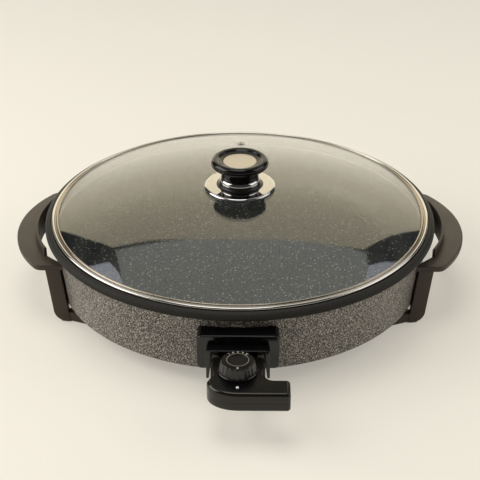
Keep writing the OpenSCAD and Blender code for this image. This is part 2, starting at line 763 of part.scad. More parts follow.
// The lens and its lamp stand in the room between the leaf stack and the front wall
lens_shift = 0.7;
lens_y = (stack_y + stack_l + case_l - case_wall) / 2 - lens_shift;
lamp_r = 2.4;
lamp_drop = 2.8;
lamp_z = roof - lamp_drop - lamp_r;
lamp_l = 12;
lamp_x = -6;
cradle_half = 3.4;
cradle_t = 1.5;
cradles = [-4.5, 1.5];
bushing_body_r = 5.6;
bushing_flange_r = 7.1;
bushing_l = 8;

module nose_way() {
    block(-nose_half - seat, nose_half + seat, -case_wall - eps, eps, nose_low - seat, nose_high + seat);
}
module cord_way() {
    translate([arm_reach - case_wall - eps, -arm_y, arm_z]) rotate([0, 90, 0])
        cylinder(r = bushing_body_r + seat, h = case_wall + 2 * eps);
}

module upper_shell() {
    color(c_bakelite) at_case() difference() {
        union() {
            difference() {
                translate([0, 0, case_split + running]) linear_extrude(case_high - case_split - running)
                    polygon(case_outline(0));
                translate([0, 0, case_split - eps]) linear_extrude(roof - case_split + eps)
                    polygon(case_outline(case_wall));
            }
            at_case_screws() translate([0, 0, case_split + running])
                cylinder(r = case_boss_r, h = roof - case_split);
        }
        nose_way();
        cord_way();
        translate([0, -dial_back, roof - eps]) cylinder(r = bushing_r + slip, h = case_wall + 2 * eps);
        translate([0, -lens_y, roof - eps]) cylinder(r = lens_d / 2 + seat, h = case_wall + 2 * eps);
        at_case_screws() cylinder(r = case_screw_r + running, h = case_screw_top + seat);
    }
}

module lower_shell() {
    color(c_bakelite) at_case() difference() {
        union() {
            difference() {
                translate([0, 0, case_low]) linear_extrude(case_split - case_low) polygon(case_outline(0));
                translate([0, 0, deck]) linear_extrude(case_split - deck + eps)
                    polygon(case_outline(case_wall));
            }
            at_case_screws() translate([0, 0, deck - eps])
                cylinder(r = case_boss_r, h = case_split - deck + eps);
            // Cradle for the pilot lamp
            for (x = cradles)
                block(x, x + cradle_t, -lens_y - cradle_half, -lens_y + cradle_half, deck - eps, lamp_z);
        }
        nose_way();
        cord_way();
        translate([lamp_x - eps, -lens_y, lamp_z]) rotate([0, 90, 0]) cylinder(r = lamp_r + seat, h = lamp_l);
        at_case_screws() {
            cylinder(r = case_screw_r + seat, h = case_split + eps);
            cylinder(r = case_head_r + seat, h = case_low + case_head_h + seat);
        }
    }
}

module shell_screws() {
    color(c_steel) at_case() at_case_screws() difference() {
        union() {
            translate([0, 0, case_low + seat]) cylinder(r = case_head_r, h = case_head_h - seat);
            translate([0, 0, case_low + seat])
                cylinder(r = case_screw_r, h = case_screw_top - case_low - seat);
        }
        translate([-3, -0.3, case_low - eps]) cube([6, 0.6, eps + 0.8]);
    }
}

module cord_bushing() {
    color(c_rubber) at_case()
        translate([arm_reach - bushing_l, -arm_y, arm_z]) rotate([0, 90, 0]) difference() {
        union() {
            cylinder(r = bushing_body_r, h = bushing_l);
            cylinder(r = bushing_flange_r, h = bushing_l - case_wall - seat);
        }
        translate([0, 0, -eps]) cylinder(r = cord_d / 2, h = bushing_l + 2 * eps);
    }
}

probe_out = case_back - probe_end_y - slip;
probe_bore_r = 2.2;
probe_cap = 2;
module probe_tube() {
    r = probe_d / 2;
    collar = socket_z - deck - 2 * seat;
    collar_t = 1.4;
    back = frame_y - seat;
    color(c_steel) at_case() translate([0, probe_out, socket_z]) rotate([90, 0, 0]) rotate_extrude()
        polygon(concat([[0, 0]], arc(r - 1.6, 1.6, 1.6, -90, 0, 5),
            [[r, probe_out + back - collar_t], [collar, probe_out + back - collar_t],
             [collar, probe_out + back], [probe_bore_r, probe_out + back], [probe_bore_r, probe_cap],
             [0, probe_cap]]));
}

module bimetal_strip() {
    color(c_brass) at_case() block(-strip_half, strip_half, -post_y - strip_past,
        probe_out - probe_cap - seat, socket_z - strip_t / 2, socket_z + strip_t / 2);
}

module push_post() {
    color(c_ceramic) at_case() translate([0, -post_y, socket_z + strip_t / 2 + running])
        cylinder(r = post_r, h = lower_leaf_z - socket_z - strip_t / 2 - 2 * running);
}

module thermostat_frame() {
    color(c_steel) at_case() difference() {
        union() {
            block(-frame_half, frame_half, -stack_y - stack_l, -frame_y, frame_z, frame_z + frame_t);
            block(-frame_half, frame_half, -frame_y - frame_t, -frame_y, frame_z, bridge_z + frame_t);
            block(-frame_half, frame_half, -bridge_l, -frame_y, bridge_z, bridge_z + frame_t);
        }
        bar(0, socket_z, probe_bore_r, frame_y - eps, frame_y + frame_t + eps);
        translate([0, -dial_back, bridge_z - eps]) cylinder(r = bushing_r + running, h = frame_t + 2 * eps);
        translate([0, -stack_y - stack_l / 2, frame_z - eps])
            cylinder(r = rivet_r + running, h = frame_t + 2 * eps);
    }
}

module spindle_bushing() {
    flange = 5;
    flange_t = 0.8;
    step = spindle_low - seat;
    color(c_brass) at_case() translate([0, -dial_back, 0]) difference() {
        union() {
            translate([0, 0, bridge_z - flange_t]) cylinder(r = flange, h = flange_t - running);
            translate([0, 0, bridge_z - flange_t])
                cylinder(r = bushing_r, h = case_high - seat - bridge_z + flange_t);
        }
        translate([0, 0, bridge_z - flange_t - eps])
            cylinder(r = plunger_r + running, h = step - bridge_z + flange_t + 2 * eps);
        translate([0, 0, step]) cylinder(r = spindle_r + running, h = case_high);
    }
}

// Socket for one pin, with the strip that leads its current away
module receptacle() {
    strip_w = 5;
    strip = 0.8;
    tail = 24;
    color(c_brass) at_case() difference() {
        union() {
            bar(pin_reach, socket_z, receptacle_r, receptacle_in - nose_out, nose_in + receptacle_past);
            block(pin_reach - strip_w / 2, pin_reach + strip_w / 2, -tail, -nose_in - seat,
                  socket_z - receptacle_r, socket_z - receptacle_r + strip);
        }
        bar(pin_reach, socket_z, pin_d / 2 + slip, -nose_out, nose_in + receptacle_past + eps);
    }
}
module line_receptacle() { receptacle(); }
module neutral_receptacle() { mirror([1, 0, 0]) receptacle(); }

module receptacle_block() {
    color("#6b5a4a") at_case() difference() {
        union() {
            block(-nose_half, nose_half, -nose_in, nose_out, nose_low, nose_high);
            block(-nose_rib, nose_rib, -case_wall - nose_rib_t, -case_wall - seat,
                  deck + seat, nose_high + nose_rib_up);
        }
        for (x = [-pin_reach, pin_reach])
            bar(x, socket_z, receptacle_r + seat, -nose_out - eps, nose_in + eps);
        bar(0, socket_z, probe_d / 2 + seat, -nose_out - eps, nose_in + eps);
    }
}

module leaf(z, t, y0, y1) { block(-leaf_half, leaf_half, -y1, -y0, z, z + t); }
module rivet_hole(z, t) {
    translate([0, -stack_y - stack_l / 2, z - eps]) cylinder(r = rivet_r + running, h = t + 2 * eps);
}

module lower_leaf() {
    color(c_brass) at_case() {
        difference() {
            leaf(lower_leaf_z, leaf_t, post_y - leaf_past, stack_y + stack_l);
            rivet_hole(lower_leaf_z, leaf_t);
        }
        translate([0, -contact_y, lower_leaf_z + leaf_t]) cylinder(r = contact_r, h = contact_h);
    }
}

module contact_spring() {
    color(c_brass) at_case() difference() {
        leaf(arm_leaf_z, leaf_t, stack_y + seat, stack_y + stack_l);
        rivet_hole(arm_leaf_z, leaf_t);
    }
}

// The rigid arm on the spring's free end. It carries the moving contact.
module contact_arm() {
    color(c_brass) at_case() {
        leaf(arm_leaf_z, arm_t, contact_y - tip_past, stack_y - seat);
        translate([0, -contact_y, arm_leaf_z - contact_h]) cylinder(r = contact_r, h = contact_h);
    }
}

stack_levels = [[frame_z + frame_t + running, lower_leaf_z - running],
                [lower_leaf_z + leaf_t + running, arm_leaf_z - running],
                [arm_leaf_z + leaf_t + running, arm_leaf_z + leaf_t + top_spacer_h]];
module leaf_spacers() {
    color(c_ceramic) at_case() for (s = stack_levels) difference() {
        block(-leaf_half - spacer_side, leaf_half + spacer_side, -stack_y - stack_l, -stack_y, s[0], s[1]);
        rivet_hole(s[0], s[1] - s[0]);
    }
}

module leaf_rivet() {
    top = stack_levels[2][1] + running;
    color(c_steel) at_case() translate([0, -stack_y - stack_l / 2, 0]) {
        translate([0, 0, frame_z]) cylinder(r = rivet_r, h = top - frame_z + eps);
        translate([0, 0, top]) cylinder(r = 2, h = 1);
    }
}

module pilot_lens() {
    flange = 0.8;
    crown = lens_d / 2 - 0.2;
    r = lens_d / 2;
    color("white") at_case() translate([0, -lens_y, 0]) rotate_extrude() polygon(concat(
        [[0, lamp_z + lamp_r + seat], [r, lamp_z + lamp_r + seat], [r, roof - seat - flange],
         [r + flange, roof - seat - flange], [r + flange, roof - seat], [r, roof - seat],
         [r, case_high]], arc(r - crown, case_high, crown, 0, 90, 4), [[0, case_high + crown]]));
}

module pilot_lamp() {
    color("#e9c9b0") at_case() translate([lamp_x, -lens_y, lamp_z]) rotate([0, 90, 0]) rotate_extrude()
        polygon(concat([[0, 0], [lamp_r - 0.4, 0], [lamp_r, 0.4]],
                       arc(0, lamp_l - lamp_r, lamp_r, 0, 90, 8)));
}

module adjuster_plunger() {
    tip_z = arm_leaf_z + arm_t + seat;
    shoulder_z = bridge_z - plunger_shoulder;
    top = spindle_low - 2 * seat;
    color(c_ceramic) at_case() translate([0, -dial_back, 0]) {
        translate([0, 0, tip_z]) cylinder(r = plunger_tip_r, h = top - tip_z);
        translate([0, 0, shoulder_z]) cylinder(r = plunger_r, h = top - shoulder_z);
    }
}

// ---- dial ----
dial_low = case_high + slip;
dial_top = dial_low + dial_h;
dial_cap_r = 9.6;
dial_foot_r = dial_foot_d / 2;
dial_top_r = dial_top_d / 2;
skirt_line = 2.4;
cap_depth = 2.5;
spindle_top = dial_top - cap_depth;
flat_x = 1.8;
module at_dial() { at_case() translate([0, -dial_back, 0]) children(); }
// The spindle's section is round below the dial and has a flat inside it
module spindle_form(r, flat, z0, z1) {
    difference() {
        translate([0, 0, z0]) cylinder(r = r, h = z1 - z0);
        translate([flat, -r - eps, dial_low]) cube([r, 2 * (r + eps), z1 - dial_low + eps]);
    }
}

module dial_knob() {
    tilt = atan((dial_foot_r - dial_top_r) / (dial_h - skirt_line));
    cutter = 3.2;
    depth = 0.55;
    color(c_bakelite) at_dial() difference() {
        rotate_extrude() polygon([
            [0, dial_low], [dial_foot_r, dial_low], [dial_foot_r, dial_low + skirt_line],
            [dial_foot_r - 0.6, dial_low + skirt_line], [dial_top_r, dial_top - 0.7],
            [dial_top_r - 0.7, dial_top], [dial_cap_r + seat, dial_top + 0.5],
            [dial_cap_r + seat, dial_top - 1], [0, dial_top - 1]]);
        for (i = [0:flutes - 1]) rotate([0, 0, 360 * i / flutes])
            translate([dial_foot_r - 0.6 + cutter - depth, 0, dial_low + skirt_line]) rotate([0, -tilt, 0])
                cylinder(r = cutter, h = dial_h + eps, $fn = 32);
        spindle_form(spindle_r + running, flat_x + running, dial_low - eps, spindle_top + seat);
    }
}

module dial_cap() {
    color("#1f1d1c") at_dial() translate([0, 0, dial_top - 1 + running]) cylinder(r = dial_cap_r, h = 1);
}

module dial_spindle() { color(c_steel) at_dial() spindle_form(spindle_r, flat_x, spindle_low, spindle_top); }

placed() pan();
placed() heating_element();
placed() terminal_pins();
placed() terminal_beads();
placed() socket_shroud();
placed() shroud_screws();
placed() left_handle();
placed() right_handle();
placed() handle_screws();
placed() lid_glass();
placed() lid_rim();
placed() vent_eyelet();
placed() knob_plate();
placed() upper_gasket();
placed() lower_gasket();
placed() knob_washer();
placed() knob_screw();
placed() knob();
placed() knob_insert();
placed() knob_disc();
placed() upper_shell();
placed() lower_shell();
placed() shell_screws();
placed() cord_bushing();
placed() probe_tube();
placed() bimetal_strip();
placed() push_post();
placed() thermostat_frame();
placed() spindle_bushing();
placed() line_receptacle();
placed() neutral_receptacle();
placed() receptacle_block();
placed() lower_leaf();
placed() contact_spring();
placed() leaf_spacers();
placed() leaf_rivet();
placed() pilot_lens();
placed() pilot_lamp();
placed() contact_arm();
placed() adjuster_plunger();
placed() dial_knob();
placed() dial_cap();
placed() dial_spindle();
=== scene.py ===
import math

import bmesh
import bpy
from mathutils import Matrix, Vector


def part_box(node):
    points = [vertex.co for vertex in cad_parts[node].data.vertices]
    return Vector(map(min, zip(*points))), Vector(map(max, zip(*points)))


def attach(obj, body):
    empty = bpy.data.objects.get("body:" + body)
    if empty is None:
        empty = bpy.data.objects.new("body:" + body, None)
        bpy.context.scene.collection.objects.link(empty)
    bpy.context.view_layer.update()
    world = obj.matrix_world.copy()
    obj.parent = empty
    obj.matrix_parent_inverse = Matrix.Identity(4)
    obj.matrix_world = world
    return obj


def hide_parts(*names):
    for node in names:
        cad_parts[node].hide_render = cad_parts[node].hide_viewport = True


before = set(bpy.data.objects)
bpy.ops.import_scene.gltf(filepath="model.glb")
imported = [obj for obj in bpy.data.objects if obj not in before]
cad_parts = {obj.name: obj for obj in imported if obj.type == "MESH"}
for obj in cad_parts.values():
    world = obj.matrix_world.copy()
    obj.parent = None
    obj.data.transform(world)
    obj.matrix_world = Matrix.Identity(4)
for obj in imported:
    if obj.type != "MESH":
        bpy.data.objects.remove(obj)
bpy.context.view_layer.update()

# Shapes are worked out in millimetres about the pan's axis, +Y to the back, z 0 on the table.
MM = 0.001


def node_box(name):
    """A node's lowest and highest corner in millimetres, about the pan's axis."""
    low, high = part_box(name)
    shift = Vector((0, AXIS_Y, 0))
    return (Vector(low) - shift) / MM, (Vector(high) - shift) / MM


rim_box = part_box("lid_rim")
AXIS_Y = (rim_box[0][1] + rim_box[1][1]) / 2

# ---------------------------------------------------------------- camera
CAM_UP = math.radians(29.256)
CAM_REACH = 1.42903
CAM_AROUND = math.radians(0.45)
AIM = Vector((0.0001, AXIS_Y, 0.05357))
CAM_LENS = 97.5
SENSOR = 36.0

cam_data = bpy.data.cameras.new("camera")
cam_data.lens = CAM_LENS
cam_data.sensor_width = SENSOR
camera = bpy.data.objects.new("camera", cam_data)
bpy.context.collection.objects.link(camera)
level = math.cos(CAM_UP)
away = Vector((math.sin(CAM_AROUND) * level, -math.cos(CAM_AROUND) * level, math.sin(CAM_UP)))
camera.location = AIM + CAM_REACH * away
camera.rotation_euler = (AIM - camera.location).to_track_quat("-Z", "Y").to_euler()
bpy.context.scene.camera = camera


# ---------------------------------------------------------------- shape helpers
def arc(cx, cy, r, a0, a1, n=8):
    """Points of an arc about (cx, cy), from angle a0 to angle a1 in degrees."""
    out = []
    for i in range(n + 1):
        a = math.radians(a0 + (a1 - a0) * i / n)
        out.append((cx + r * math.cos(a), cy + r * math.sin(a)))
    return out


def build(name, verts, faces, materials, body, face_mats=None, replaces=(), slot=None, sharp=32, at=None):
    """A mesh piece from points in millimetres about the pan's axis. at moves a point into place."""
    mesh = bpy.data.meshes.new(name)
    points = []
    for v in verts:
        x, y, z = at(*v) if at else v
        points.append((x * MM, y * MM + AXIS_Y, z * MM))
    mesh.from_pydata(points, [], faces)
    for m in materials:
        mesh.materials.append(m)
    if face_mats:
        mesh.polygons.foreach_set("material_index", face_mats)
    bm = bmesh.new()
    bm.from_mesh(mesh)
    bmesh.ops.remove_doubles(bm, verts=bm.verts, dist=1e-7)
    bmesh.ops.recalc_face_normals(bm, faces=bm.faces)
    bm.to_mesh(mesh)
    bm.free()
    mesh.polygons.foreach_set("use_smooth", [True] * len(mesh.polygons))
    mesh.set_sharp_from_angle(angle=math.radians(sharp))
    mesh.update()
    obj = bpy.data.objects.new(name, mesh)
    bpy.context.collection.objects.link(obj)
    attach(obj, body)
    if replaces:
        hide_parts(*replaces)
    return obj


def lathe(name, stretches, materials, body, steps=192, **rest):
    """A turned piece. stretches is a list of (profile points as (radius, height), material index)."""
    profile, mats = [], []
    for points, mat in stretches:
        for p in points:
            if not profile or math.dist(p, profile[-1]) > 1e-6:
                profile.append(p)
                mats.append(mat)
    rings, verts = [], []
    for r, z in profile:
        if r < 1e-6:
            rings.append([len(verts)] * steps)
            verts.append((0, 0, z))
        else:
            rings.append(list(range(len(verts), len(verts) + steps)))
            for i in range(steps):
                a = 2 * math.pi * i / steps
                verts.append((r * math.cos(a), r * math.sin(a), z))
    pairs = [(i, i + 1) for i in range(len(profile) - 1)]
    if max(profile[0][0], profile[-1][0]) > 1e-6:
        pairs.append((len(profile) - 1, 0))
    faces, face_mats = [], []
    for a, b in pairs:
        for i in range(steps):
            j = (i + 1) % steps
            corners = list(dict.fromkeys([rings[a][i], rings[a][j], rings[b][j], rings[b][i]]))
            if len(corners) > 2:
                faces.append(corners)
                face_mats.append(mats[b] if b else mats[a])
    return build(name, verts, faces, materials, body, face_mats, **rest)


def inset(outline, d):
    """The outline drawn in by d along its corners' normals. It runs anticlockwise."""
    n = len(outline)
    out = []
    for i in range(n):
        p0, p1, p2 = outline[i - 1], outline[i], outline[(i + 1) % n]
        e1 = Vector((p1[0] - p0[0], p1[1] - p0[1])).normalized()
        e2 = Vector((p2[0] - p1[0], p2[1] - p1[1])).normalized()
        n1, n2 = Vector((-e1.y, e1.x)), Vector((-e2.y, e2.x))
        m = (n1 + n2).normalized()
        k = d / max(m.dot(n1), 0.35)
        out.append((p1[0] + m.x * k, p1[1] + m.y * k))
    return out


def clean(outline):
    """The outline without doubled points, anticlockwise."""
    out = []
    for p in outline:
        if not out or math.dist(p, out[-1]) > 1e-4:
            out.append(p)
    if math.dist(out[0], out[-1]) < 1e-4:
        out.pop()
    area = sum(out[i - 1][0] * out[i][1] - out[i][0] * out[i - 1][1] for i in range(len(out)))
    return out if area > 0 else out[::-1]


def strip(a, b, n):
    """The faces between ring a and ring b, of n points each."""
    return [[a * n + i, a * n + (i + 1) % n, b * n + (i + 1) % n, b * n + i] for i in range(n)]


def end_face(ring, n):
    """The face that closes a ring of n points."""
    return list(range(ring * n, ring * n + n))


def slab(name, outline, z0, z1, materials, body, low, high, seg=4, **rest):
    """An outline extruded from z0 to z1 with round edges of radius low and high."""
    outline = clean(outline)
    n = len(outline)
    turns = [math.radians(90 * i / seg) for i in range(seg + 1)]
    layers = [(low * (1 - math.sin(t)), z0 + low * (1 - math.cos(t))) for t in turns]
    layers += [(high * (1 - math.cos(t)), z1 - high * (1 - math.sin(t))) for t in turns]
    verts = [(x, y, z) for d, z in layers for x, y in inset(outline, d)]
    faces = []
    for k in range(len(layers) - 1):
        faces += strip(k, k + 1, n)
    faces.append(end_face(0, n)[::-1])
    faces.append(end_face(len(layers) - 1, n))
    return build(name, verts, faces, materials, body, **rest)


def block(half, near, far):
    """A rectangle in front of the pan's axis, from near to far of it."""
    return [(-half, -far), (half, -far), (half, -near), (-half, -near)]


def face_up(obj, material, limit=0.985):
    """Gives the faces that look straight up a material of their own: a darker, duller black that paints
    shade on the tops.
    """
    obj.data.materials.append(material)
    index = len(obj.data.materials) - 1
    for face in obj.data.polygons:
        if face.normal.z > limit:
            face.material_index = index


# ---------------------------------------------------------------- material helpers
def lin(r, g, b):
    """Linear colour from 8-bit sRGB."""
    out = []
    for c in (r, g, b):
        c /= 255
        out.append(c / 12.92 if c <= 0.04045 else ((c + 0.055) / 1.055) ** 2.4)
    return (*out, 1.0)


def grey(v):
    return (v, v, v, 1.0)


def tint(colour, k):
    """The colour, k times as bright."""
    return tuple(min(c * k, 1) for c in colour[:3]) + (1.0,)


class Nodes:
    """The nodes of a material or a world, with a few shorthands."""

    def __init__(self, owner):
        owner.use_nodes = True
        self.t = owner.node_tree
        self.t.nodes.clear()

    def node(self, kind, inputs=None, **props):
        """A node. inputs holds a socket to link or a value to set, by name or number."""
        n = self.t.nodes.new(kind)
        for k, v in props.items():
            setattr(n, k, v)
        for k, v in (inputs or {}).items():
            if isinstance(v, bpy.types.NodeSocket):
                self.t.links.new(v, n.inputs[k])
            else:
                n.inputs[k].default_value = v
        return n

    def where(self):
        """Place on the object, in metres."""
        return self.node("ShaderNodeTexCoord").outputs["Object"]

    def noise(self, scale, detail, rough, vector=None, distortion=0.0):
        inputs = {"Vector": vector or self.where(), "Scale": scale, "Detail": detail, "Roughness": rough,
                  "Distortion": distortion}
        return self.node("ShaderNodeTexNoise", inputs).outputs["Fac"]

    def ramp(self, factor, stops):
        """Colours over a factor. stops holds (place, colour), upward."""
        n = self.node("ShaderNodeValToRGB", {"Fac": factor})
        elements = n.color_ramp.elements
        elements.remove(elements[0])
        elements[0].position, elements[0].color = stops[0]
        for p, c in stops[1:]:
            elements.new(p).color = c
        return n.outputs["Color"]

    def math(self, op, a, b=0.0, clamp=False):
        return self.node("ShaderNodeMath", {0: a, 1: b}, operation=op, use_clamp=clamp).outputs[0]

    def mix(self, factor, a, b):
        """Colour a, with colour b where factor is 1."""
        return self.node("ShaderNodeMix", {0: factor, 6: a, 7: b}, data_type="RGBA").outputs[2]

    def swap(self, factor, a, b):
        """Shader a, with shader b where factor is 1."""
        return self.node("ShaderNodeMixShader", {0: factor, 1: a, 2: b}).outputs[0]


class Mat(Nodes):
    """A material with a Principled shader."""

    def __init__(self, name, **shader):
        self.m = bpy.data.materials.new(name)
        super().__init__(self.m)
        self.out = self.node("ShaderNodeOutputMaterial")
        self.b = self.node("ShaderNodeBsdfPrincipled")
        self.show(self.b.outputs[0])
        for k, v in shader.items():
            self.b.inputs[k.replace("_", " ")].default_value = v

    def show(self, shader):
        """Makes a shader the material's surface."""
        self.t.links.new(shader, self.out.inputs[0])

    def link(self, socket, name):
        """Feeds an input of the Principled shader."""
        self.t.links.new(socket, self.b.inputs[name])

    def bump(self, height, strength, distance):
        """Gives the surface a fine relief from a height between 0 and 1."""
        bump = self.node("ShaderNodeBump", {"Height": height, "Strength": strength, "Distance": distance})
        self.link(bump.outputs["Normal"], "Normal")


# ---------------------------------------------------------------- materials
def make_coat():
    """Wrinkled grey enamel of the pan's outside: pale and dark grains about a millimetre wide."""
    m = Mat("pan_coat", Roughness=0.5, IOR=1.5)
    where = m.where()
    fine = m.noise(760, 2, 0.7, where, 0.6)
    grain = m.noise(1200, 2, 0.6, where)
    height = m.math("ADD", m.math("MULTIPLY", fine, 0.62), m.math("MULTIPLY", grain, 0.38))
    colour = m.ramp(height, [(0.40, lin(12, 11, 10)), (0.47, lin(54, 51, 47)), (0.53, lin(112, 107, 100)),
                             (0.60, lin(206, 200, 190))])
    m.link(colour, "Base Color")
    m.link(m.ramp(height, [(0.4, grey(0.5)), (0.62, grey(0.26))]), "Roughness")
    m.bump(height, 0.5, 0.0008)
    return m.m


def make_flange():
    """Smooth dark lacquer of the rim band."""
    m = Mat("pan_band", Roughness=0.4, IOR=1.5, Specular_IOR_Level=0.06)
    fine = m.noise(900, 2, 0.5)
    m.link(m.ramp(fine, [(0.3, lin(42, 41, 38)), (0.7, lin(52, 50, 47))]), "Base Color")
    m.bump(fine, 0.06, 0.0002)
    return m.m


def make_nonstick(name, dark, fleck):
    """Dark non-stick coating with small pale flecks. dark and fleck are their 8-bit greys."""
    m = Mat(name, Roughness=0.38, IOR=1.5, Specular_IOR_Level=0.2)
    where = m.where()

    def cells(scale):
        return m.node("ShaderNodeTexVoronoi", {"Vector": where, "Scale": scale}).outputs

    large, small = cells(250.0), cells(480.0)
    pick = m.ramp(large["Color"], [(0.44, grey(0)), (0.46, grey(1))])
    dot = m.ramp(large["Distance"], [(0.17, grey(1)), (0.26, grey(0))])
    speck = m.ramp(small["Distance"], [(0.16, grey(0.5)), (0.28, grey(0))])
    flecks = m.math("ADD", m.math("MULTIPLY", pick, dot), speck, clamp=True)
    cloud = m.noise(14, 2, 0.5, where)
    base = m.ramp(cloud, [(0.35, lin(dark, dark + 2, dark + 1)), (0.65, lin(dark + 7, dark + 9, dark + 8))])
    m.link(m.mix(flecks, base, lin(fleck, fleck + 1, fleck - 3)), "Base Color")
    m.bump(m.noise(500, 3, 0.6, where), 0.10, 0.0003)
    return m.m


def make_plastic(name, colour, rough, grain, scale, vary=0.15, shine=0.5):
    """Moulded plastic with a faint grain and a little unevenness."""
    m = Mat(name, IOR=1.5, Specular_IOR_Level=shine)
    where = m.where()
    cloud = m.noise(45, 3, 0.5, where)
    m.link(m.ramp(cloud, [(0.3, tint(colour, 1 - vary)), (0.7, tint(colour, 1 + vary))]), "Base Color")
    m.link(m.ramp(cloud, [(0.3, grey(rough * 0.9)), (0.7, grey(rough * 1.12))]), "Roughness")
    m.bump(m.noise(scale, 3, 0.6, where), grain, 0.0003)
    return m.m


def make_metal(name, colour, rough, brushed=None, grain=0.04):
    """Bare metal. brushed is the way of its fine lines: x, or round about the pan's axis."""
    m = Mat(name, Metallic=1.0)
    where = m.where()
    if brushed == "round":
        x, y, z = m.node("ShaderNodeSeparateXYZ", {0: where}).outputs
        y = m.math("SUBTRACT", y, AXIS_Y)
        r = m.math("SQRT", m.math("ADD", m.math("POWER", x, 2.0), m.math("POWER", y, 2.0)))
        lines = m.noise(2600, 2, 0.6, m.node("ShaderNodeCombineXYZ", {0: r, 2: z}).outputs[0])
    elif brushed == "x":
        drawn = m.node("ShaderNodeMapping", {"Vector": where, "Scale": (0.03, 1, 1)}).outputs[0]
        lines = m.noise(2200, 3, 0.6, drawn)
    else:
        lines = m.noise(700, 3, 0.5, where)
    m.link(m.ramp(lines, [(0.3, tint(colour, 0.9)), (0.7, tint(colour, 1.06))]), "Base Color")
    m.link(m.ramp(lines, [(0.3, grey(rough * 0.8)), (0.7, grey(rough * 1.25))]), "Roughness")
    m.bump(lines, grain, 0.0002)
    return m.m


def make_glass(name):
    """Clear glass. Lamps shine through it, as they do through thin glass."""
    m = Mat(name, Base_Color=(0.965, 0.975, 0.965, 1.0), IOR=1.5, Transmission_Weight=1.0)
    m.link(m.ramp(m.noise(60, 2, 0.5), [(0.2, grey(0.0)), (0.9, grey(0.012))]), "Roughness")
    clear = m.node("ShaderNodeBsdfTransparent", {"Color": (0.86, 0.87, 0.86, 1.0)}).outputs[0]
    shadow = m.node("ShaderNodeLightPath").outputs["Is Shadow Ray"]
    m.show(m.swap(shadow, m.b.outputs[0], clear))
    return m.m


COAT = make_coat()
BAND = make_flange()
NONSTICK = make_nonstick("nonstick", 16, 142)
# The bend and the wall get dimmer flecks than the floor: painted shade on the pan's inner wall, half of it
# on the bend.
NONSTICK_BEND_HALF_SHADED = make_nonstick("nonstick_bend_painted_half_shade", 17, 130)
NONSTICK_WALL_SHADED = make_nonstick("nonstick_wall_painted_shade", 18, 100)
HANDLE = make_plastic("handle_resin", lin(58, 48, 39), 0.45, 0.14, 1100, shine=0.4)
GLOSS = make_plastic("black_resin", lin(11, 11, 11), 0.12, 0.02, 1500)
KNOB = make_plastic("knob_resin", lin(15, 12, 9), 0.13, 0.02, 1500, shine=0.34)
# Dark resin on the chrome collar's concave foot: painted dark reflection of the black cap and neck that the
# chrome there mirrors.
COLLAR_FOOT_PAINTED_REFLECTION = make_plastic("collar_foot_painted_reflection", lin(14, 14, 14), 0.34, 0.03, 1500, shine=0.35)
# A darker, duller copy of the black resin for faces that look up: painted shade on the tops.
PAINTED_DARK_TOP = make_plastic("black_resin_painted_shade_top", lin(8, 8, 8), 0.3, 0.03, 1500, shine=0.08)
SHELL = make_plastic("shell_resin", lin(22, 18, 8), 0.13, 0.02, 1300, shine=0.4)
DIAL = make_plastic("dial_resin", lin(26, 24, 21), 0.2, 0.03, 1500)
INK = make_plastic("dial_ink", lin(214, 212, 204), 0.5, 0.02, 1500, vary=0.03)
# Dark brown for the groove between the rim's roll and its lip: painted shade in the groove.
GROOVE_SHADE = make_plastic("rim_groove_painted_shade", lin(58, 47, 38), 0.5, 0.05, 1200, shine=0.2)
LENS = make_plastic("lens_white", lin(232, 230, 220), 0.25, 0.02, 1500, vary=0.03)
GROMMET = make_plastic("grommet_rubber", lin(36, 35, 35), 0.6, 0.12, 900)
RESIN = make_plastic("socket_resin", lin(34, 30, 28), 0.4, 0.08, 1200)
CERAMIC = make_plastic("ceramic", lin(222, 217, 203), 0.35, 0.06, 900, vary=0.04)
STEEL = make_metal("rim_steel", lin(202, 199, 195), 0.1, "round", 0.02)
LIP = make_metal("lip_steel", lin(158, 150, 138), 0.22, "round", 0.02)
SKIRT = make_metal("skirt_steel", lin(122, 117, 108), 0.3, "round", 0.03)
SCREW = make_metal("screw_steel", lin(176, 176, 174), 0.3)
DARK_SCREW = make_metal("screw_black", lin(44, 43, 42), 0.4)
SHEATH = make_metal("sheath_steel", lin(150, 148, 144), 0.34)
CHROME = make_metal("chrome", lin(190, 188, 186), 0.04, None, 0.004)
DISC = make_metal("brushed_disc", lin(184, 178, 170), 0.32, "x", 0.12)
BRASS = make_metal("brass", lin(198, 164, 92), 0.28)
GLASS = make_glass("lid_glass_clear")
LAMP = make_glass("lamp_glass")

# ---------------------------------------------------------------- pan
pan_low, pan_high = node_box("pan")
FLANGE_R = pan_high.x
FLANGE_TOP = pan_high.z
FLANGE_H = 8.0
FLANGE_EDGE = 1.6
SHOULDER = 6.0
UNDERCUT = 1.2
WALL_TOP_R = FLANGE_R - 6.5
WALL_T = 3.6
DRAFT = math.radians(5.9)
FLOOR_TOP = 24.0
FLOOR_LOW = 19.5
FILLET = 28.0
BASE = 16.0
BASE_CORNER = 5.0
BASE_RING = 9.0
SEAT_Z = FLANGE_TOP - 3.4
STEP_R = FLANGE_R - 6.3
STEP_EDGE = 0.3
SEAT_EDGE = 0.6


def wall_r(z):
    """Radius of the wall's outside at height z."""
    return WALL_TOP_R - (FLANGE_TOP - FLANGE_H - z) * math.tan(DRAFT)


def bore_r(z):
    """Radius of the wall's inside at height z."""
    return wall_r(z) - WALL_T


def wall_reach(z, aside):
    """Distance from the pan's axis to the wall's outside, along a line that passes the axis by aside."""
    return math.sqrt(wall_r(z) ** 2 - aside ** 2)


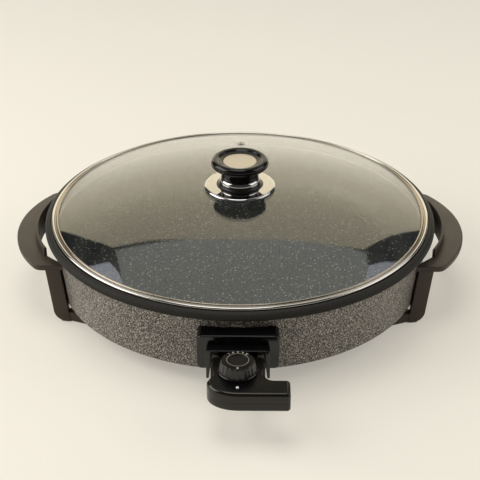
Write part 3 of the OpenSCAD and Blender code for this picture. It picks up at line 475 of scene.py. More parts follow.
fillet_z = FLOOR_TOP + FILLET
fillet_x = bore_r(fillet_z) - FILLET / math.cos(DRAFT)
base_x = wall_r(BASE + BASE_CORNER) - BASE_CORNER
ring_in = base_x + BASE_CORNER - BASE_RING
undercut_z = FLANGE_TOP - FLANGE_H - UNDERCUT
under = [(0, FLOOR_LOW), (ring_in, FLOOR_LOW), (ring_in, BASE)]
under += arc(base_x, BASE + BASE_CORNER, BASE_CORNER, -90, 0, 10)
under += [(wall_r(undercut_z), undercut_z)]
band = arc(WALL_TOP_R + UNDERCUT, undercut_z, UNDERCUT, 180, 90, 4)
band += arc(FLANGE_R - FLANGE_EDGE, FLANGE_TOP - FLANGE_H + FLANGE_EDGE, FLANGE_EDGE, -90, 0, 6)
band += arc(FLANGE_R - SHOULDER, FLANGE_TOP - SHOULDER, SHOULDER, 0, 88, 16)
band += arc(STEP_R + STEP_EDGE, FLANGE_TOP - STEP_EDGE, STEP_EDGE, 90, 180, 3)
band += [(STEP_R, SEAT_Z)]
inside = [(bore_r(SEAT_Z) + SEAT_EDGE, SEAT_Z), (bore_r(SEAT_Z - SEAT_EDGE), SEAT_Z - SEAT_EDGE)]
bend = arc(fillet_x, fillet_z, FILLET, -math.degrees(DRAFT), -90, 28)
# The points of the bend where the wall's painted shade ends and where the floor's brighter flecks begin;
# the bend between them carries half the painted shade.
WALL_END, FLOOR_START = 12, 21
lathe("pan_body", [(under, 0), (band, 1), (inside + bend[:WALL_END], 4), (bend[WALL_END:FLOOR_START], 3),
                   (bend[FLOOR_START:] + [(0, FLOOR_TOP)], 2)],
      [COAT, BAND, NONSTICK, NONSTICK_BEND_HALF_SHADED, NONSTICK_WALL_SHADED], "skillet", steps=288,
      replaces=["pan"], slot="pan_coating")

RING_R, RING_HALF, RIB_LOW, RIB_EDGE = 115.0, 7.5, 7.5, 1.5
SINK = 1.0
rib_in, rib_out, rib_top = RING_R - RING_HALF, RING_R + RING_HALF, FLOOR_LOW + SINK
rib = [(rib_in + RIB_EDGE, RIB_LOW), (rib_out - RIB_EDGE, RIB_LOW), (rib_out, RIB_LOW + RIB_EDGE),
       (rib_out, rib_top), (rib_in, rib_top), (rib_in, RIB_LOW + RIB_EDGE)]
lathe("pan_rib", [(rib, 0)], [COAT], "skillet", slot="pan_coating")

BOSS_Y = -pan_low.y
RISER_HALF, BOSS_HALF, BOSS_HIGH, BOSS_LOW = 20.5, 27.0, 59.0, 37.3
wall_in = wall_r(BASE) - WALL_T
slab("pan_end_rib", block(RISER_HALF, RING_R, BOSS_Y), RIB_LOW, rib_top, [COAT], "skillet", 1.2, 0.2,
     slot="pan_coating")
slab("pan_riser", block(RISER_HALF, wall_in, BOSS_Y), RIB_LOW, BOSS_HIGH, [COAT], "skillet", 1.2, 1.0,
     slot="pan_coating")
slab("pan_boss", block(BOSS_HALF, wall_in + SINK, BOSS_Y), BOSS_LOW, BOSS_HIGH - 0.1, [COAT], "skillet",
     1.0, 1.0, slot="pan_coating")

LEG_Y, LEG_T = 83.5, 9.5
SCREW_HEAD_R, FOOT_BOSS_R, FOOT_H, FOOT_BOSS_EDGE = 3.8, 6.5, 11.0, 0.6
FOOT_X = node_box("handle_screws")[1].x - SCREW_HEAD_R
FOOT_Y = LEG_Y - LEG_T / 2
boss_low = FOOT_H + 0.1
foot_boss = [(0, boss_low), (FOOT_BOSS_R - FOOT_BOSS_EDGE, boss_low),
             (FOOT_BOSS_R, boss_low + FOOT_BOSS_EDGE), (FOOT_BOSS_R, rib_top), (0, rib_top)]
for side, left_right in ((-1, "left"), (1, "right")):
    for end, front_back in ((-1, "front"), (1, "back")):
        lathe(f"pan_foot_boss_{left_right}_{front_back}", [(foot_boss, 0)], [COAT], "skillet", steps=40,
              at=lambda x, y, z: (x + side * FOOT_X, y + end * FOOT_Y, z), slot="pan_coating")

# ---------------------------------------------------------------- handles
handle_high = node_box("right_handle")[1]
GRIP_TOP, GRIP_T = 69.0, 7.0
GRIP_LOW = GRIP_TOP - GRIP_T
GRIP_ARC, GRIP_CORNER = 129.6, 12.0
GUARD_ARC, GUARD_T, GUARD_DROP = 126.5, 2.8, 12.0
GUARD_OUT, GUARD_SHORT = 8.7, 21.5
LEG_W, LEG_GAP, LEG_CORNER = 15.8, 3.0, 15.0
LEG_TOP = GRIP_LOW + 4
BEARING, BEARING_GAP = 7.5, 0.3
FOOT_FLARE, FOOT_WIDE = 6.5, 12.0
grip_x = handle_high.x - GRIP_ARC
guard_x = FLANGE_R + GUARD_OUT - GUARD_ARC
corner_y = LEG_Y - GRIP_CORNER
corner_x = grip_x + math.sqrt((GRIP_ARC - GRIP_CORNER) ** 2 - corner_y ** 2)
corner_a = math.degrees(math.asin(corner_y / (GRIP_ARC - GRIP_CORNER)))
guard_a = math.degrees(math.asin((LEG_Y - GUARD_SHORT) / GUARD_ARC))


def leg_in(z):
    """How far out the leg's inner side stands at height z."""
    return wall_reach(z, LEG_Y) + LEG_GAP


end_x = wall_reach(GRIP_TOP, LEG_Y) + BEARING_GAP
bearing_x = wall_reach(GRIP_TOP, LEG_Y - BEARING) + BEARING_GAP
guard_in = arc(guard_x, 0, GUARD_ARC, guard_a, -guard_a, 48)
guard = guard_in + arc(guard_x, 0, GUARD_ARC + GUARD_T, -guard_a, guard_a, 48)
grip = [(bearing_x, BEARING - LEG_Y), (end_x, -LEG_Y)]
grip += arc(corner_x, -corner_y, GRIP_CORNER, -90, -corner_a, 10)
grip += arc(grip_x, 0, GRIP_ARC, -corner_a, corner_a, 60)
grip += arc(corner_x, corner_y, GRIP_CORNER, corner_a, 90, 10)
grip += [(end_x, LEG_Y), (bearing_x, LEG_Y - BEARING)] + guard_in
leg = [(leg_in(LEG_TOP), LEG_TOP), (leg_in(FOOT_H), FOOT_H), (leg_in(FOOT_H) - 2, 0)]
leg += arc(leg_in(LEG_CORNER) + LEG_W - LEG_CORNER, LEG_CORNER, LEG_CORNER, -90, 0, 12)
leg += [(leg_in(LEG_TOP) + LEG_W, LEG_TOP)]
foot = [(leg_in(FOOT_H) + LEG_W / 2, LEG_T - LEG_Y), (leg_in(FOOT_H) + LEG_W / 2, 0.5 - LEG_Y),
        (leg_in(FOOT_H) - 3, 0.5 - LEG_Y), (FOOT_X - FOOT_BOSS_R, -LEG_Y - FOOT_FLARE),
        (FOOT_X - FOOT_BOSS_R, FOOT_WIDE - LEG_Y), (FOOT_X + FOOT_BOSS_R, FOOT_WIDE - LEG_Y)]
for side, left_right in ((-1, "left"), (1, "right")):
    slab(left_right + "_grip", grip, GRIP_LOW, GRIP_TOP, [HANDLE], "skillet", 2.6, 1.2, 5,
         at=lambda x, y, z: (side * x, y, z), replaces=[left_right + "_handle"], slot="handle_black")
    slab(left_right + "_guard", guard, GRIP_LOW - GUARD_DROP, handle_high.z, [HANDLE], "skillet", 0.9, 0.9,
         at=lambda x, y, z: (side * x, y, z), slot="handle_black")
    for end, front_back in ((-1, "front"), (1, "back")):
        slab(f"{left_right}_leg_{front_back}", leg, 0, LEG_T, [HANDLE], "skillet", 1.0, 1.0,
             at=lambda x, y, z: (side * x, end * (LEG_Y - LEG_T + z), y), slot="handle_black")
        slab(f"{left_right}_foot_{front_back}", foot, 0.4, FOOT_H, [HANDLE], "skillet", 0.8, 0.8,
             at=lambda x, y, z: (side * x, -end * y, z), slot="handle_black")

# ---------------------------------------------------------------- socket shroud
PLINTH_X, PLINTH_LOW, PLINTH_HIGH, PLINTH_CORNER = 34.6, 39.0, 66.0, 5.0
PLINTH_T, PLINTH_EDGE = 3.0, 1.4
FACE_Y = BOSS_Y + PLINTH_T
HOOD_HALF, HOOD_HIGH, HOOD_LOW, HOOD_CORNER = 30.4, 61.5, 30.0, 3.0
CHEEK, CHEEK_END, ROOF = 6.0, 1.3, 2.0
hood_y = -node_box("socket_shroud")[0].y


def plinth():
    """A shell with a flat front. Its walls end on the pan's round wall."""
    outer = arc(PLINTH_X, PLINTH_LOW, PLINTH_CORNER, -90, 0, 9)
    outer += arc(PLINTH_X, PLINTH_HIGH, PLINTH_CORNER, 0, 90, 9)
    outer += arc(-PLINTH_X, PLINTH_HIGH, PLINTH_CORNER, 90, 180, 9)
    outer += arc(-PLINTH_X, PLINTH_LOW, PLINTH_CORNER, 180, 270, 9)
    outer = clean(outer)
    inner = inset(outer, PLINTH_T)
    rings = [[(x, -wall_reach(z, x) - 0.1, z) for x, z in outer]]
    for i in range(6):
        t = math.radians(90 * i / 5)
        y = PLINTH_EDGE * (1 - math.sin(t)) - FACE_Y
        rings.append([(x, y, z) for x, z in inset(outer, PLINTH_EDGE * (1 - math.cos(t)))])
    front = len(rings) - 1
    rings.append([(x, PLINTH_T - FACE_Y, z) for x, z in inner])
    rings.append([(x, -wall_reach(z, x) - 0.1, z) for x, z in inner])
    n = len(outer)
    faces = []
    for a in range(len(rings)):
        if a != front:
            faces += strip(a, (a + 1) % len(rings), n)
    faces.append(end_face(front, n))
    faces.append(end_face(front + 1, n)[::-1])
    verts = [v for ring in rings for v in ring]
    return build("shroud_plinth", verts, faces, [GLOSS], "skillet", replaces=["socket_shroud"],
                 slot="gloss_black")


# The plinth's upward faces get the painted dark top shade.
face_up(plinth(), PAINTED_DARK_TOP)
cheek_in = HOOD_HALF - CHEEK
roof_low = HOOD_HIGH - ROOF - 1
hood = arc(HOOD_HALF - HOOD_CORNER, HOOD_HIGH - HOOD_CORNER, HOOD_CORNER, 0, 90)
hood += arc(HOOD_CORNER - HOOD_HALF, HOOD_HIGH - HOOD_CORNER, HOOD_CORNER, 90, 180)
hood += arc(CHEEK_END - HOOD_HALF, HOOD_LOW + CHEEK_END, CHEEK_END, 180, 360)
hood += [(-cheek_in, roof_low)] + arc(1 - cheek_in, roof_low, 1, 180, 90, 4)
hood += arc(cheek_in - 1, roof_low, 1, 90, 0, 4)
hood += arc(HOOD_HALF - CHEEK_END, HOOD_LOW + CHEEK_END, CHEEK_END, 180, 360)
# The hood's upward faces get the painted dark top shade.
face_up(slab("shroud_hood", hood, FACE_Y - 1, hood_y, [GLOSS], "skillet", 0.1, 0.7,
             at=lambda x, y, z: (x, -z, y), slot="gloss_black"), PAINTED_DARK_TOP)

# ---------------------------------------------------------------- lid
glass_high = node_box("lid_glass")[1]
rim_low, rim_high = node_box("lid_rim")
GLASS_R, GLASS_T = glass_high.x, 4.0
DOME_TOP = glass_high.z
RIM_R, RIM_TOP = rim_high.x, rim_high.z
RIM_LOW = SEAT_Z + 0.3
SKIRT_LOW = rim_low.z
SKIRT_R = bore_r(SKIRT_LOW) - 0.6
HOLE_R = 5.0
CLEAR = 0.05
rise = DOME_TOP - RIM_TOP + 0.9
DOME_R = (GLASS_R ** 2 + rise ** 2) / (2 * rise)
DOME_Z = DOME_TOP - DOME_R


def glass_top(r):
    """Height of the dome's outside at radius r."""
    return DOME_Z + math.sqrt(DOME_R ** 2 - r * r)


def glass_under(r):
    """Height of the dome's inside at radius r."""
    return DOME_Z + math.sqrt((DOME_R - GLASS_T) ** 2 - r * r)


DOME_STEPS = 72
radii = [HOLE_R + (GLASS_R - HOLE_R) * i / DOME_STEPS for i in range(DOME_STEPS + 1)]
dome = [(r, glass_top(r)) for r in radii] + [(r, glass_under(r)) for r in reversed(radii)]
lathe("lid_dome", [(dome, 0)], [GLASS], "lid", steps=256, replaces=["lid_glass"], slot="lid_glass")

ROLL, CREST, BEAD = 2.3, 1.7, 0.95
LIP_AT, LIP_R, LIP_IN = RIM_R - 6.0, 1.25, RIM_R - 7.3
skirt_in = SKIRT_R - 0.8
skirt = arc(SKIRT_R - BEAD, SKIRT_LOW + BEAD, BEAD, 80, 360, 16) + [(SKIRT_R, RIM_LOW)]
rim = arc(RIM_R - ROLL, RIM_LOW + ROLL, ROLL, -90, 0, 9)
rim += arc(RIM_R - CREST, RIM_TOP - CREST, CREST, 0, 150, 16)
# The groove between the roll and the lip, painted dark brown as its shade.
shaded_groove = [(RIM_R - 3.4, RIM_TOP - 1.0), (RIM_R - 4.75, RIM_TOP - 0.6)]
lip = arc(LIP_AT, RIM_TOP - 0.4, LIP_R, 5, 150, 12)
lip += [(LIP_IN, glass_top(LIP_IN) + 0.03), (GLASS_R + CLEAR, glass_top(GLASS_R) + CLEAR)]
hidden = [(GLASS_R + CLEAR, glass_under(GLASS_R) - CLEAR), (skirt_in, glass_under(skirt_in) - CLEAR)]
lathe("lid_band", [(skirt, 1), (rim, 0), (shaded_groove, 2), (lip, 3), (hidden, 1)], [STEEL, SKIRT, GROOVE_SHADE, LIP],
      "lid", steps=288, replaces=["lid_rim"], slot="rim_steel")

VENT_Y = 134.5
VENT_HOLE, VENT_NECK, VENT_R = 2.0, 2.9, 5.3
vent_tilt = math.asin(VENT_Y / DOME_R)
vent_y = VENT_Y - math.sin(vent_tilt) * GLASS_T / 2
vent_z = DOME_Z + math.cos(vent_tilt) * (DOME_R - GLASS_T / 2)


def at_vent(x, y, z):
    c, s = math.cos(vent_tilt), math.sin(vent_tilt)
    return x, vent_y + y * c + z * s, vent_z - y * s + z * c


half = GLASS_T / 2
eyelet = [(VENT_HOLE, -half - 0.7), (VENT_R, -half - 0.6), (VENT_R, -half - CLEAR),
          (VENT_NECK, -half - CLEAR), (VENT_NECK, half + CLEAR), (VENT_R, half + CLEAR),
          (VENT_R - 0.05, half + 0.3), (4.4, half + 0.72), (2.8, half + 0.74), (2.2, half + 0.5),
          (VENT_HOLE, half)]
lathe("vent_ring", [(eyelet, 0)], [LIP], "lid", steps=40, at=at_vent, replaces=["vent_eyelet"],
      slot="rim_steel")

# ---------------------------------------------------------------- knob
plate_low, plate_high = node_box("knob_plate")
knob_high = node_box("knob")[1]
disc_low, disc_high = node_box("knob_disc")
PLATE_R, PLATE_T, PLATE_EDGE, PLATE_BORE = plate_high.x, 1.2, 1.4, 3.0
EDGE_WIDE, EDGE_HIGH = 3.4, 2.2
COLLAR_R, COLLAR_H, COLLAR_FOOT_R = 21.5, 8.6, 3.6
PLATE_TOP = plate_high.z - COLLAR_H
NECK_R = 20.0
BULGE, BULGE_TO, BULGE_LIP = 6.3, 38, 0.5
plate_under, edge_low = PLATE_TOP - PLATE_T, plate_low.z
plate = [(PLATE_BORE, plate_under), (PLATE_R - PLATE_EDGE, plate_under), (PLATE_R - PLATE_EDGE, edge_low),
         (PLATE_R - 0.3, edge_low), (PLATE_R, edge_low + 0.4)]
for x, z in arc(0, 0, 1, 0, 90, 12):
    plate.append((PLATE_R + EDGE_WIDE * (x - 1), PLATE_TOP + EDGE_HIGH * (z - 1)))
plate += [(COLLAR_R + COLLAR_FOOT_R, PLATE_TOP)]
# The collar's concave foot, part of the chrome base, painted dark as the reflection it shows.
collar_foot = arc(COLLAR_R + COLLAR_FOOT_R, PLATE_TOP + COLLAR_FOOT_R, COLLAR_FOOT_R, 262, 180, 12)
collar_foot += [(COLLAR_R - 0.05, PLATE_TOP + 4.3)]
bulge_x, bulge_z = COLLAR_R + 0.4 - BULGE, PLATE_TOP + 4.4
bulge_end = math.radians(BULGE_TO)
bulge = arc(bulge_x, bulge_z, BULGE, 0, BULGE_TO, 12)
bulge += arc(bulge_x + (BULGE - BULGE_LIP) * math.cos(bulge_end),
             bulge_z + (BULGE - BULGE_LIP) * math.sin(bulge_end), BULGE_LIP, BULGE_TO, 90, 4)
bulge += [(NECK_R + 0.1, PLATE_TOP + 8.3), (NECK_R + 0.1, PLATE_TOP), (PLATE_BORE, PLATE_TOP)]
lathe("knob_base", [(plate, 0), (collar_foot, 1), (bulge, 0)], [CHROME, COLLAR_FOOT_PAINTED_REFLECTION], "lid", steps=160,
      replaces=["knob_plate"], slot="chrome_plate")

KNOB_TOP = knob_high.z
HOLLOW, WAIST_Z, SIDE = 3.6, KNOB_TOP - 13.6, 4.8
RING_FROM, RING_TO = -80, 140
BORE_R, BORE_H = 4.6, 14.1
disc_r, disc_z = disc_high.x, disc_high.z
ring_r, ring_z = knob_high.x - SIDE, KNOB_TOP - SIDE
dish_in, dish_out = disc_r + 0.6, ring_r + SIDE * math.cos(math.radians(RING_TO))
dish_low = disc_z + 0.3
dish_h = ring_z + SIDE * math.sin(math.radians(RING_TO)) - dish_low
cap = [(BORE_R, PLATE_TOP + 0.1), (NECK_R, PLATE_TOP + 0.1)]
cap += arc(NECK_R + HOLLOW, WAIST_Z, HOLLOW, 180, 90, 12)
cap += arc(ring_r, ring_z, SIDE, RING_FROM, RING_TO, 40)
for part in (0.8, 0.6, 0.4, 0.2):
    cap.append((dish_in + (dish_out - dish_in) * part, dish_low + dish_h * part ** 1.8))
cap += [(dish_in + 0.2, dish_low), (dish_in, disc_z - 0.1), (disc_r + 0.1, disc_z - 0.1)]
cap += [(disc_r + 0.1, disc_low.z), (0, disc_low.z - 0.05)]
cap += [(0, PLATE_TOP + BORE_H), (BORE_R, PLATE_TOP + BORE_H)]
lathe("knob_grip", [(cap, 0)], [KNOB], "lid", steps=160, replaces=["knob"], slot="gloss_black")
badge = [(0, disc_low.z), (disc_r, disc_low.z), (disc_r, disc_z - 0.2), (disc_r - 0.3, disc_z), (0, disc_z)]
lathe("knob_badge", [(badge, 0)], [DISC], "lid", steps=96, replaces=["knob_disc"], slot="brushed_disc")

# ---------------------------------------------------------------- controller
shell_low, shell_high = node_box("lower_shell")
upper_low, upper_high = node_box("upper_shell")
CASE_BACK = -shell_high.y
CASE_LOW, CASE_HIGH, CASE_SPLIT = shell_low.z, upper_high.z, upper_low.z - 0.05
CASE_L, CASE_LEFT, ARM_REACH = shell_high.y - shell_low.y, -shell_low.x, shell_high.x
NECK_HALF, NECK_LEFT, NECK_RIGHT, NECK_CORNER = 25.7, 25.2, 25.6, 6.0
FLARE_BACK, FLARE_R, BULGE_R = 33.0, 8.0, 3.6
ARM_W, ARM_CORNER = 24.0, 3.6
FRONT_X = 30.0
EIGHTH = math.radians(45)
flare_x = NECK_LEFT + FLARE_R * (1 - math.cos(EIGHTH))
bulge_out = CASE_LEFT - BULGE_R * (1 - math.cos(EIGHTH))
bulge_y = FLARE_BACK + (FLARE_R + BULGE_R) * math.sin(EIGHTH) + bulge_out - flare_x
front_r = CASE_L - bulge_y
arm_back = CASE_L - ARM_W


def at_case(x, y, z):
    return x, y - CASE_BACK, z


case = arc(NECK_HALF - NECK_CORNER, -NECK_CORNER, NECK_CORNER, 0, 90)
case += arc(NECK_CORNER - NECK_HALF, -NECK_CORNER, NECK_CORNER, 90, 180)
case += arc(-NECK_LEFT - FLARE_R, -FLARE_BACK, FLARE_R, 0, -45)
case += arc(BULGE_R - CASE_LEFT, -bulge_y, BULGE_R, 135, 180, 5)
case += [(FRONT_X * (1 + x) - CASE_LEFT, front_r * y - bulge_y) for x, y in arc(0, 0, 1, 180, 270, 28)]
case += arc(ARM_REACH - ARM_CORNER, ARM_CORNER - CASE_L, ARM_CORNER, 270, 360, 6)
case += arc(ARM_REACH - ARM_CORNER, -arm_back - ARM_CORNER, ARM_CORNER, 0, 90, 6)
case += arc(NECK_RIGHT + FLARE_R, FLARE_R - arm_back, FLARE_R, 270, 180, 10)
# The case's upward faces get the painted dark top shade.
face_up(slab("case_top", case, CASE_SPLIT + 0.08, CASE_HIGH, [SHELL], "controller", 0.12, 3.5, 10,
             at=at_case, replaces=["upper_shell"], slot="gloss_black"), PAINTED_DARK_TOP)
slab("case_bottom", case, CASE_LOW, CASE_SPLIT, [SHELL], "controller", 1.8, 0.12, 6, at=at_case,
     replaces=["lower_shell"], slot="gloss_black")

# ---------------------------------------------------------------- dial
dial_low, dial_high = node_box("dial_knob")
cap_low, cap_high = node_box("dial_cap")
DIAL_Y = (dial_low.y + dial_high.y) / 2
DIAL_R, TOP_R, DIAL_CAP_R = dial_high.x + 0.7, 15.7, 9.6
DIAL_BASE, DIAL_TOP = dial_low.z, dial_high.z
SKIRT_H, DIAL_FALL = 2.4, 0.42
FLUTES, FLUTE_DEPTH = 18, 0.55


def at_dial(x, y, z):
    return x, y + DIAL_Y, z


def fluted_dial():
    """The dial: a round skirt, a fluted cone and a top that falls a little outwards."""
    steps = 360
    skirt_top, cone_r, cone_top = DIAL_BASE + SKIRT_H, DIAL_R - 0.9, DIAL_TOP - 1.2
    # Radius, height and the share of the flutes' depth
    levels = [(DIAL_R - 0.4, DIAL_BASE, 0), (DIAL_R, DIAL_BASE + 0.4, 0), (DIAL_R, skirt_top - 0.4, 0),
              (DIAL_R - 0.4, skirt_top, 0)]
    for i in range(9):
        levels.append((cone_r + (TOP_R - cone_r) * i / 8, skirt_top + (cone_top - skirt_top) * i / 8, 1))
    levels += [(TOP_R - 0.25, DIAL_TOP - 0.75, 0.7), (TOP_R - 0.8, DIAL_TOP - 0.5, 0.2),
               (TOP_R - 1.4, DIAL_TOP - DIAL_FALL, 0), (DIAL_CAP_R + 0.5, DIAL_TOP, 0),
               (DIAL_CAP_R + 0.1, DIAL_TOP - 0.3, 0), (DIAL_CAP_R + 0.1, DIAL_TOP - 1.5, 0)]
    verts, faces = [], []
    for r, z, share in levels:
        for i in range(steps):
            a = 2 * math.pi * i / steps
            depth = FLUTE_DEPTH * share * ((math.cos(FLUTES * a) + 1) / 2) ** 1.6
            verts.append(((r - depth) * math.cos(a), (r - depth) * math.sin(a), z))
    for k in range(len(levels) - 1):
        faces += strip(k, k + 1, steps)
    faces.append(end_face(0, steps)[::-1])
    faces.append(end_face(len(levels) - 1, steps))
    return build("dial_grip", verts, faces, [DIAL], "dial", replaces=["dial_knob"], slot="dial_black",
                 sharp=40, at=at_dial)


# The dial's upward faces get the painted dark top shade.
face_up(fluted_dial(), PAINTED_DARK_TOP, 0.9)
button_top = cap_high.z
button = [(0, cap_low.z), (DIAL_CAP_R, cap_low.z), (DIAL_CAP_R, button_top - 0.3),
          (DIAL_CAP_R - 0.3, button_top), (DIAL_CAP_R - 1.6, button_top),
          (DIAL_CAP_R - 2.0, button_top - 0.35), (0, button_top - 0.35)]
# The whole button is in the painted dark top shade, like the tops of the case and dial.
lathe("dial_button", [(button, 0)], [PAINTED_DARK_TOP], "dial", steps=80, at=at_dial, replaces=["dial_cap"],
      slot="dial_black")


def dial_z(r):
    """Height of the dial's top, which falls a little from its cap to its edge."""
    return DIAL_TOP - DIAL_FALL * max(r - DIAL_CAP_R - 0.5, 0) / (TOP_R - 1.9 - DIAL_CAP_R)


RING_AT, RING_W = 10.2, 0.22
ring_top = dial_z(RING_AT) + 0.1
ring_band = [(RING_AT - RING_W, ring_top - 0.3), (RING_AT - RING_W, ring_top),
             (RING_AT + RING_W, ring_top), (RING_AT + RING_W, ring_top - 0.3)]
lathe("dial_ring", [(ring_band, 0)], [SHEATH], "dial", steps=96, at=at_dial)

# Strokes of a digit as (x, y, x, y), in half digit heights
STROKES = {"0": [(0, 0, 0, 2), (1, 0, 1, 2), (0, 0, 1, 0), (0, 2, 1, 2)],
           "1": [(0.5, 0, 0.5, 2)],
           "2": [(0, 2, 1, 2), (1, 1, 1, 2), (0, 1, 1, 1), (0, 0, 0, 1), (0, 0, 1, 0)],
           "3": [(0, 2, 1, 2), (1, 0, 1, 2), (0, 1, 1, 1), (0, 0, 1, 0)],
           "4": [(0, 1, 0, 2), (0, 1, 1, 1), (1, 0, 1, 2)],
           "5": [(0, 2, 1, 2), (0, 1, 0, 2), (0, 1, 1, 1), (1, 0, 1, 1), (0, 0, 1, 0)]}
DIGIT_R, DIGIT_SIZE, STROKE = 12.0, 1.0, 0.17
BOX_FACES = ((3, 2, 1, 0), (4, 5, 6, 7), (0, 1, 5, 4), (1, 2, 6, 5), (2, 3, 7, 6), (3, 0, 4, 7))


def dial_marks():
    """Generic numbers around the dial's top: 0 at its front, 1 to 5 along its back."""
    verts, faces = [], []
    for digit, angle in zip("012345", (270, 130, 110, 90, 70, 50)):
        c, s = math.cos(math.radians(angle)), math.sin(math.radians(angle))
        for x0, y0, x1, y1 in STROKES[digit]:
            low_x, high_x = x0 * DIGIT_SIZE - STROKE, x1 * DIGIT_SIZE + STROKE
            low_y, high_y = y0 * DIGIT_SIZE - STROKE, y1 * DIGIT_SIZE + STROKE
            faces += [[len(verts) + i for i in loop] for loop in BOX_FACES]
            for lift in (-0.1, 0.06):
                for x, y in ((low_x, low_y), (high_x, low_y), (high_x, high_y), (low_x, high_y)):
                    across, out = x - DIGIT_SIZE / 2, DIGIT_R + y
                    verts.append((out * c + across * s, out * s - across * c, dial_z(out) + lift))
    return build("dial_numbers", verts, faces, [INK], "dial", at=at_dial)


dial_marks()

# ---------------------------------------------------------------- nodes shown as they are
for node, material in (("heating_element", SHEATH), ("terminal_pins", CHROME), ("terminal_beads", CERAMIC),
                       ("shroud_screws", DARK_SCREW), ("handle_screws", SCREW), ("upper_gasket", GROMMET),
                       ("lower_gasket", GROMMET), ("knob_washer", SCREW), ("knob_screw", SCREW),
                       ("knob_insert", BRASS), ("shell_screws", SCREW), ("cord_bushing", GROMMET),
                       ("probe_tube", SHEATH), ("bimetal_strip", BRASS), ("push_post", CERAMIC),
                       ("thermostat_frame", SCREW), ("spindle_bushing", BRASS), ("line_receptacle", BRASS),
                       ("neutral_receptacle", BRASS), ("receptacle_block", RESIN), ("lower_leaf", BRASS),
                       ("contact_spring", BRASS), ("leaf_spacers", CERAMIC), ("leaf_rivet", SCREW),
                       ("pilot_lens", LENS), ("pilot_lamp", LAMP), ("contact_arm", BRASS),
                       ("adjuster_plunger", CERAMIC), ("dial_spindle", SCREW)):
    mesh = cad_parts[node].data
    mesh.materials.clear()
    mesh.materials.append(material)


# ---------------------------------------------------------------- stage
def plane(name, corners, material):
    """A flat piece of the stage. Its corners are in metres."""
    mesh = bpy.data.meshes.new(name)
    mesh.from_pydata(corners, [], [list(range(len(corners)))])
    mesh.materials.append(material)
    obj = bpy.data.objects.new(name, mesh)
    bpy.context.collection.objects.link(obj)
    return obj


def make_paper():
    """Pale paper. Where it is looked at, part of its paleness is a glow of its own, which keeps it even."""
    m = Mat("paper", Roughness=0.9, Specular_IOR_Level=0.1)
    cloud = m.noise(1.2, 2, 0.5)
    m.link(m.ramp(cloud, [(0.3, lin(240, 233, 218)), (0.7, lin(243, 237, 224))]), "Base Color")
    glow = m.node("ShaderNodeEmission", {0: lin(248, 243, 231), 1: 1.0}).outputs[0]
    path = m.node("ShaderNodeLightPath").outputs
    seen = m.math("MAXIMUM", path["Is Camera Ray"], path["Is Glossy Ray"])
    seen = m.math("MAXIMUM", seen, path["Is Transmission Ray"])
    # Light that has left a dull surface sees plain paper, so the glow lights nothing
    seen = m.math("MULTIPLY", seen, m.math("LESS_THAN", path["Diffuse Depth"], 0.5))
    m.show(m.swap(m.math("MULTIPLY", seen, PAPER_GLOW), m.b.outputs[0], glow))
    return m.m


PAPER_GLOW = 0.36
FLOOR = 4.0
plane("floor", [(-FLOOR, -FLOOR, 0), (FLOOR, -FLOOR, 0), (FLOOR, FLOOR, 0), (-FLOOR, FLOOR, 0)],
      make_paper())


def card(name, corners, stops):
    """A glowing card that only mirrors see. stops holds (height in metres, colour, strength), upward."""
    top, most = stops[-1][0], 2.0
    material = bpy.data.materials.new(name)
    n = Nodes(material)
    height = n.node("ShaderNodeSeparateXYZ", {0: n.where()}).outputs[2]
    share = n.node("ShaderNodeMapRange", {"Value": height, "From Max": top}).outputs[0]
    colour = n.ramp(share, [(z / top, c) for z, c, _ in stops])
    power = n.math("MULTIPLY", n.ramp(share, [(z / top, grey(p / most)) for z, _, p in stops]), most)
    glow = n.node("ShaderNodeEmission", {0: colour, 1: power}).outputs[0]
    n.node("ShaderNodeOutputMaterial", {0: glow})
    obj = plane(name, corners, material)
    obj.visible_camera = False
    obj.visible_shadow = False
    obj.visible_diffuse = False


# The paper sweep behind the object, the ceiling and two lamp heads beside it, as the lid mirrors them
CARD_Y = AXIS_Y + 1.15
HEAD_Y = CARD_Y - 0.01
CEILING_Z = 1.9
CREAM, SAND, CEILING, HEAD = lin(252, 243, 224), lin(250, 238, 208), lin(246, 250, 246), lin(220, 225, 238)
sweep = [(-0.95, 0.0), (0.95, 0.0), (0.78, 0.74), (0.72, 0.96), (0.68, 1.30), (0.58, 1.34), (0.44, 1.38),
         (0.0, 1.44), (-0.23, 1.41), (-0.5, 1.31), (-0.71, 1.26), (-0.76, 1.04), (-0.80, 0.79)]
left_head = [(-0.98, 1.40), (-0.80, 1.46), (-0.82, 1.70), (-0.90, 2.10), (-1.25, 2.10), (-1.2, 1.5)]
right_head = [(0.79, 1.52), (0.84, 1.36), (1.0, 1.20), (1.3, 1.20), (1.3, 2.0), (0.92, 2.0)]
ceiling = [(-0.99, 1.75), (-0.46, 1.66), (0.0, 1.60), (0.43, 1.65), (0.98, 1.73), (0.95, 1.38), (0.88, 0.9),
           (0.8, 0.2), (-0.75, 0.2), (-0.83, 0.95), (-0.90, 1.33)]
card("sweep", [(x, CARD_Y, z) for x, z in sweep],
     [(0.0, CREAM, 1.25), (0.2, CREAM, 1.62), (0.6, SAND, 1.55), (0.9, SAND, 1.32), (1.44, SAND, 1.12)])
card("ceiling", [(x, AXIS_Y + y, CEILING_Z) for x, y in ceiling],
     [(0.0, CEILING, 0.78), (CEILING_Z, CEILING, 0.78)])
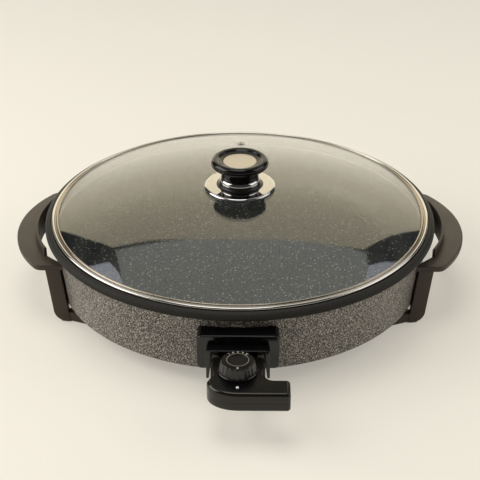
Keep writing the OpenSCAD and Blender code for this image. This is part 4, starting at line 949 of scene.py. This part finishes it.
card("head_left", [(x, HEAD_Y, z) for x, z in left_head], [(0.0, HEAD, 2.0), (2.0, HEAD, 2.0)])
card("head_right", [(x, HEAD_Y, z) for x, z in right_head], [(0.0, HEAD, 1.7), (2.0, HEAD, 1.7)])


# ---------------------------------------------------------------- lights
def lamp(name, place, size, power, colour, aim=(0, 0, 0.05)):
    """A soft rectangular lamp. Its place and aim are in metres about the pan's axis."""
    data = bpy.data.lights.new(name, "AREA")
    data.shape = "RECTANGLE"
    data.size, data.size_y = size
    data.energy = power
    data.color = colour
    obj = bpy.data.objects.new(name, data)
    bpy.context.collection.objects.link(obj)
    obj.location = Vector(place) + Vector((0, AXIS_Y, 0))
    obj.rotation_euler = (Vector(aim) - Vector(place)).to_track_quat("-Z", "Y").to_euler()


lamp("key", (-1.55, -0.1, 1.0), (1.5, 1.4), 25, (1.0, 0.98, 0.95), aim=(0, 0, 0.1))
lamp("fill", (1.55, -0.05, 0.95), (1.4, 1.3), 10, (1.0, 0.97, 0.93), aim=(0, 0, 0.1))
lamp("top", (-0.2, 0.0, 2.3), (1.5, 1.2), 16, (1.0, 0.99, 0.97))

world = bpy.data.worlds.new("studio")
bpy.context.scene.world = world
w = Nodes(world)
path = w.node("ShaderNodeLightPath").outputs


def sky(colour, strength):
    return w.node("ShaderNodeBackground", {0: colour, 1: strength}).outputs[0]


# Seen directly or straight through the glass. Light that has left any other surface sees the studio
bounced = w.math("ADD", path["Diffuse Depth"], path["Glossy Depth"])
through = w.math("MULTIPLY", path["Is Transmission Ray"], w.math("LESS_THAN", bounced, 0.5))
seen = w.math("MAXIMUM", path["Is Camera Ray"], through)
# The soft light from all around, the dark studio that polished faces mirror, and the pale backdrop
soft = sky((1.0, 0.985, 0.95, 1.0), 0.27)
dark = sky((0.9, 0.95, 1.0, 1.0), 0.06)
pale = sky(lin(243, 238, 226), 1.0)
w.node("ShaderNodeOutputWorld", {0: w.swap(seen, w.swap(path["Is Glossy Ray"], soft, dark), pale)})

bpy.context.scene.view_settings.view_transform = "Standard"

bpy.context.view_layer.update()
